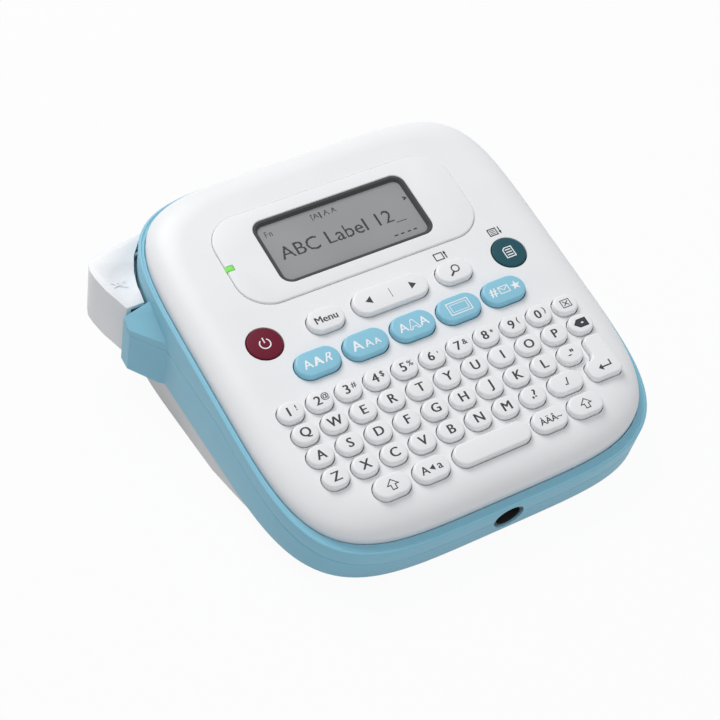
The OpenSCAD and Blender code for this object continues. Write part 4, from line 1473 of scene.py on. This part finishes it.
    def legend(self, node: str) -> None:
        """Prints a key's words or draws its icon."""
        x, y, w, l, top = self.middle(node)
        if node == "enter_key":
            x, y = x + 0.2, y - (l - self.enter_foot) / 2
        marks = Legend(top - 0.01)
        for part in self.words.get(node, ()):
            marks.text(part.words, x + part.x, y + part.y, part.size, part.bold, part.shear)
        if node == "caps_key":
            marks.area([(x - 1.0, y), (x + 0.8, y + 1.1), (x + 0.8, y - 1.1)][::-1])
        if node == "style_key":
            self.hollow_letter(marks, x, y)
        if node in self.icons:
            DRAW[self.icons[node]](marks, x, y)
        light = node in self.pads + self.rounds
        body = "cursor_body" if node == "cursor_key" else node + "_body"
        marks.piece(self.shop, node + "_legend", WHITE_INK if light else INK, body)

    @staticmethod
    def hollow_letter(marks: Legend, x: float, y: float) -> None:
        """An outlined A."""
        marks.stroke([(x - 2.0, y - 1.9), (x - 0.4, y + 1.9), (x + 0.4, y + 1.9), (x + 2.0, y - 1.9),
                      (x + 1.1, y - 1.9), (x + 0.7, y - 0.9), (x - 0.7, y - 0.9), (x - 1.1, y - 1.9)],
                     0.28, True)

    def printed(self) -> None:
        """Marks printed on the cover above two keys."""
        marks = Legend(0.005)
        x, y = self.middle("search_key")[:2]
        a, b = x - 1.2, y + 8.2
        marks.box((a - 1.6, b - 1.4), (a + 1.6, b + 1.4), 0.4)
        marks.stroke([(a + 2.6, b - 1.5), (a + 2.6, b + 1.5)], 0.45)
        marks.area([(a + 2.0, b + 0.6), (a + 3.2, b + 0.6), (a + 2.6, b + 1.8)])
        x, y = self.middle("print_key")[:2]
        a, b = x - 0.6, y + 10.0
        marks.box((a - 1.8, b - 1.4), (a + 1.4, b + 1.4), 0.4)
        for k in (-0.6, 0.1, 0.8):
            marks.stroke([(a - 1.3, b + k - 0.1), (a + 0.9, b + k - 0.1)], 0.25)
        marks.stroke([(a + 2.6, b + 1.6), (a + 2.6, b - 0.6)], 0.4)
        marks.area([(a + 2.0, b - 0.4), (a + 2.6, b - 1.7), (a + 3.2, b - 0.4)])
        marks.piece(self.shop, "cover_marks", INK, "machine")


def draw_power(marks: Legend, x: float, y: float) -> None:
    """A ring open at the top with a bar in the gap."""
    marks.arc(x, y - 0.2, 1.9, 0.42, 125, 415)
    marks.stroke([(x, y + 0.1), (x, y + 2.3)], 0.42)


def draw_page(marks: Legend, x: float, y: float) -> None:
    """A page with a folded corner and three lines."""
    marks.stroke([(x - 1.9, y - 2.1), (x + 1.7, y - 2.1), (x + 1.7, y + 2.1), (x - 1.1, y + 2.1),
                  (x - 1.9, y + 1.3)], 0.38, True)
    for k in (-1.1, 0.0, 1.1):
        marks.stroke([(x - 1.2, y + k), (x + 1.1, y + k)], 0.4)


def draw_cursor(marks: Legend, x: float, y: float) -> None:
    """Arrows to both sides of a bar."""
    for side in (-1, 1):
        tip, back = x + side * 10.0, x + side * 7.6
        marks.area([(tip, y), (back, y + 1.5 * side), (back, y - 1.5 * side)])
    marks.stroke([(x - 0.1, y - 1.9), (x - 0.1, y + 1.9)], 0.18)


def draw_lens(marks: Legend, x: float, y: float) -> None:
    """A magnifying glass."""
    marks.arc(x + 0.5, y + 0.5, 1.4, 0.45)
    marks.stroke([(x - 0.5, y - 0.5), (x - 2.2, y - 2.0)], 0.7)


def draw_clear(marks: Legend, x: float, y: float) -> None:
    """A crossed box."""
    marks.box((x - 1.7, y - 1.5), (x + 1.7, y + 1.5), 0.3)
    marks.stroke([(x - 1.0, y - 0.9), (x + 1.0, y + 0.9)], 0.35)
    marks.stroke([(x - 1.0, y + 0.9), (x + 1.0, y - 0.9)], 0.35)


def draw_backspace(marks: Legend, x: float, y: float) -> None:
    """A filled tag that points left, with a small tag-shaped hole left open in its middle."""
    ends = [(x - 2.6, y), (x - 1.1, y - 1.5), (x + 2.2, y - 1.5), (x + 2.2, y + 1.5), (x - 1.1, y + 1.5)]
    mx, my, share = x + 0.5, y, 0.22
    marks.stroke(ends, 0.45, True)
    for i in range(len(ends)):
        a, b = ends[i], ends[(i + 1) % len(ends)]
        near = [(mx + (p[0] - mx) * share, my + (p[1] - my) * share) for p in (a, b)]
        marks.area([a, b, near[1], near[0]])


def draw_enter(marks: Legend, x: float, y: float) -> None:
    """An arrow that turns down and to the left."""
    marks.stroke([(x + 2.4, y + 1.7), (x + 2.4, y - 0.2), (x - 1.2, y - 0.2)], 0.5)
    marks.area([(x - 2.6, y - 0.2), (x - 1.0, y - 1.5), (x - 1.0, y + 1.1)])


def draw_shift(marks: Legend, x: float, y: float) -> None:
    """An outlined arrow that points up."""
    marks.stroke([(x - 0.8, y - 1.8), (x + 0.8, y - 1.8), (x + 0.8, y - 0.1), (x + 2.0, y - 0.1),
                  (x, y + 1.9), (x - 2.0, y - 0.1), (x - 0.8, y - 0.1)], 0.34, True)


def draw_frame(marks: Legend, x: float, y: float) -> None:
    """A double frame."""
    for w, l, t in ((4.2, 2.4, 0.34), (3.2, 1.5, 0.22)):
        marks.box((x - w, y - l), (x + w, y + l), t)


def draw_symbols(marks: Legend, x: float, y: float) -> None:
    """A hash, an envelope and a star."""
    marks.text("#", x - 4.4, y, 5.0, 0.08)
    marks.box((x - 2.0, y - 1.3), (x + 1.8, y + 1.4), 0.32)
    marks.stroke([(x - 1.9, y + 1.3), (x - 0.1, y - 0.2), (x + 1.7, y + 1.3)], 0.32)
    star = []
    for k in range(10):
        r = 2.0 if k % 2 == 0 else 0.8
        angle = math.radians(90 + 36 * k)
        star.append((x + 4.6 + r * math.cos(angle), y + r * math.sin(angle)))
    marks.area(star)


DRAW: dict[Icon, Callable[[Legend, float, float], None]] = {
    Icon.POWER: draw_power, Icon.PAGE: draw_page, Icon.CURSOR: draw_cursor, Icon.LENS: draw_lens,
    Icon.CLEAR: draw_clear, Icon.BACKSPACE: draw_backspace, Icon.ENTER: draw_enter, Icon.SHIFT: draw_shift,
    Icon.FRAME: draw_frame, Icon.SYMBOLS: draw_symbols}


# --- Cutter --------------------------------------------------------------------------------------
@dataclass
class Cutter:
    """The white lever, with soft edges and a pair of scissors drawn on its top."""

    shop: Workshop
    edge: float = 0.9

    def build(self) -> None:
        """Makes the lever and its mark."""
        deck = self.shop.deck
        mesh = deck.nodes["cutter_lever"].data.copy()
        mesh.transform(deck.matrix.inverted())
        outwards(mesh, 0.004)
        flat = bmesh.new()
        flat.from_mesh(mesh)
        bmesh.ops.dissolve_limit(flat, angle_limit=math.radians(1.5), verts=flat.verts, edges=flat.edges)
        flat.to_mesh(mesh)
        flat.free()
        work = link(bpy.data.objects.new("lever_work", mesh))
        soft = work.modifiers.new("soft", "BEVEL")
        soft.width = self.edge
        soft.segments = 3
        soft.limit_method = "ANGLE"
        soft.angle_limit = math.radians(40)
        bpy.context.view_layer.update()
        finished = evaluated(work)
        work.modifiers.clear()
        bpy.data.objects.remove(work)
        self.shop.piece("cutter_lever_body", finished, WHITE, "lever", Slot.WHITE_PLASTIC,
                        ("cutter_lever",), 30)
        self.scissors()

    def scissors(self) -> None:
        """Two crossed blades with ring handles."""
        low, high = self.shop.deck.extent("cutter_lever")
        marks = Legend(high.z - 0.02)
        x, y = low.x + 6.2, high.y - 17.5
        for side in (-1, 1):
            marks.arc(x - 2.6, y + side * 1.9, 1.1, 0.45, steps=14)
            marks.stroke([(x - 1.7, y + side * 1.2), (x + 3.4, y - side * 1.6)], 0.5)
        marks.piece(self.shop, "scissors_mark", WHITE, "lever")


# --- Inner pieces --------------------------------------------------------------------------------
@dataclass
class Internals:
    """The CAD nodes that stay as they are, each dressed in its own finish."""

    shop: Workshop
    record: dict[str, Any]
    special: dict[str, Finish] = field(default_factory=lambda: {
        "ribbon_supply": SOFT_BLACK, "print_head": BLACK, "power_jack": BLACK})

    def build(self) -> None:
        """Dresses every CAD node by its slot in the record."""
        finishes = {slot.title: slot.finish for slot in Slot}
        slots = {part["node"]: part["material_slot"] for part in self.record["subparts"]}
        for name, obj in self.shop.deck.nodes.items():
            finish = self.special.get(name, finishes[slots[name]])
            if not obj.material_slots:
                obj.data.materials.append(finish.material())
            for place in obj.material_slots:
                place.material = finish.material()
        LOG.info("dressed %d nodes", len(self.shop.deck.nodes))


# --- Studio --------------------------------------------------------------------------------------
@dataclass
class Studio:
    """Floor, lights and camera."""

    shop: Workshop
    azimuth: float = -30.15
    elevation: float = 41.8
    camera_at: tuple[float, float, float] = (-0.24077, -0.40302, 0.44397)
    lens: float = 90.0
    floor_reach: float = 6.0
    sky: float = 0.42
    lamps: tuple[tuple[str, tuple[float, float, float], float, float], ...] = (
        ("key", (-0.12, 0.62, 1.1), 0.6, 9.5), ("front", (-0.1, -1.2, 0.7), 1.2, 3.0))

    def build(self) -> None:
        """Sets the scene."""
        self.floor()
        self.world()
        for name, at, size, power in self.lamps:
            self.light(name, at, size, power)
        self.camera()
        bpy.context.scene.view_settings.view_transform = "Standard"

    def backdrop(self, tree: bpy.types.NodeTree, lit: bpy.types.NodeSocket,
                 out: bpy.types.NodeSocket, glow: str, share: float) -> None:
        """Shows plain white to the camera and in gloss, and the lit colour to the rest.

        Args:
            tree: The node tree.
            lit: The shader that light meets.
            out: The output's socket.
            glow: The type of the node that gives the white.
            share: How much of what the camera sees is plain white.
        """
        path = tree.nodes.new("ShaderNodeLightPath")
        first = tree.nodes.new("ShaderNodeMath")
        first.operation = "MAXIMUM"
        second = tree.nodes.new("ShaderNodeMath")
        second.operation = "MAXIMUM"
        tree.links.new(path.outputs["Is Camera Ray"], first.inputs[0])
        tree.links.new(path.outputs["Is Glossy Ray"], first.inputs[1])
        tree.links.new(first.outputs[0], second.inputs[0])
        tree.links.new(path.outputs["Is Transmission Ray"], second.inputs[1])
        part = tree.nodes.new("ShaderNodeMath")
        part.operation = "MULTIPLY"
        tree.links.new(second.outputs[0], part.inputs[0])
        part.inputs[1].default_value = share
        white = tree.nodes.new(glow)
        white.inputs["Color"].default_value = (1, 1, 1, 1)
        white.inputs["Strength"].default_value = 1.0
        mix = tree.nodes.new("ShaderNodeMixShader")
        tree.links.new(part.outputs[0], mix.inputs[0])
        tree.links.new(lit, mix.inputs[1])
        tree.links.new(white.outputs[0], mix.inputs[2])
        tree.links.new(mix.outputs[0], out)

    def world(self) -> None:
        """A soft even sky that the camera sees as white."""
        world = bpy.data.worlds.new("studio")
        bpy.context.scene.world = world
        world.use_nodes = True
        tree = world.node_tree
        sky = tree.nodes["Background"]
        sky.inputs["Color"].default_value = (0.95, 0.97, 1.0, 1)
        sky.inputs["Strength"].default_value = self.sky
        self.backdrop(tree, sky.outputs[0], tree.nodes["World Output"].inputs["Surface"],
                      "ShaderNodeBackground", 1.0)

    def floor(self) -> None:
        """A wide pale floor."""
        solid = bpy.data.meshes.new("floor")
        r = self.floor_reach
        solid.from_pydata([(-r, -r, 0), (r, -r, 0), (r, r, 0), (-r, r, 0)], [], [(0, 1, 2, 3)])
        obj = link(bpy.data.objects.new("floor", solid))
        paint = bpy.data.materials.new("floor")
        paint.use_nodes = True
        shade = paint.node_tree.nodes["Principled BSDF"]
        shade.inputs["Base Color"].default_value = (0.62, 0.62, 0.63, 1)
        shade.inputs["Roughness"].default_value = 0.9
        tree = paint.node_tree
        self.backdrop(tree, shade.outputs[0], tree.nodes["Material Output"].inputs["Surface"],
                      "ShaderNodeEmission", 0.95)
        solid.materials.append(paint)

    @staticmethod
    def light(name: str, at: tuple[float, float, float], size: float, power: float) -> None:
        """Adds a square soft light that faces the object.

        Args:
            name: The light's name.
            at: Where it stands, in metres.
            size: The side of its square, in metres.
            power: Its power in watts.
        """
        lamp = bpy.data.lights.new(name, "AREA")
        lamp.size = size
        lamp.energy = power
        obj = link(bpy.data.objects.new(name, lamp))
        obj.location = at
        obj.rotation_euler = (Vector(at) - Vector((0, 0, 0.03))).to_track_quat("Z", "Y").to_euler()

    def camera(self) -> None:
        """The camera, high at the front left."""
        az, el = math.radians(self.azimuth), math.radians(self.elevation)
        back = Vector((math.sin(az) * math.cos(el), -math.cos(az) * math.cos(el), math.sin(el)))
        lens = bpy.data.cameras.new("camera")
        lens.lens = self.lens
        lens.clip_start = 0.01
        obj = link(bpy.data.objects.new("camera", lens))
        obj.location = self.camera_at
        obj.rotation_euler = back.to_track_quat("Z", "Y").to_euler()
        bpy.context.scene.camera = obj


def main() -> None:
    """Builds the label maker's looks round its frame."""
    logging.basicConfig(level=logging.INFO, format="%(name)s %(message)s")
    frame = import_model()
    shop = Workshop(Deck.of(frame))
    Internals(shop, frame["record"]).build()
    Cases(shop).build()
    keyboard = Keyboard(shop)
    Cover(shop, keyboard.holes()).build()
    keyboard.build()
    keyboard.printed()
    Display(shop).build()
    Cutter(shop).build()
    Studio(shop).build()
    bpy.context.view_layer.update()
    LOG.info("%d pieces", shop.made)


if __name__ == "__main__":
    main()
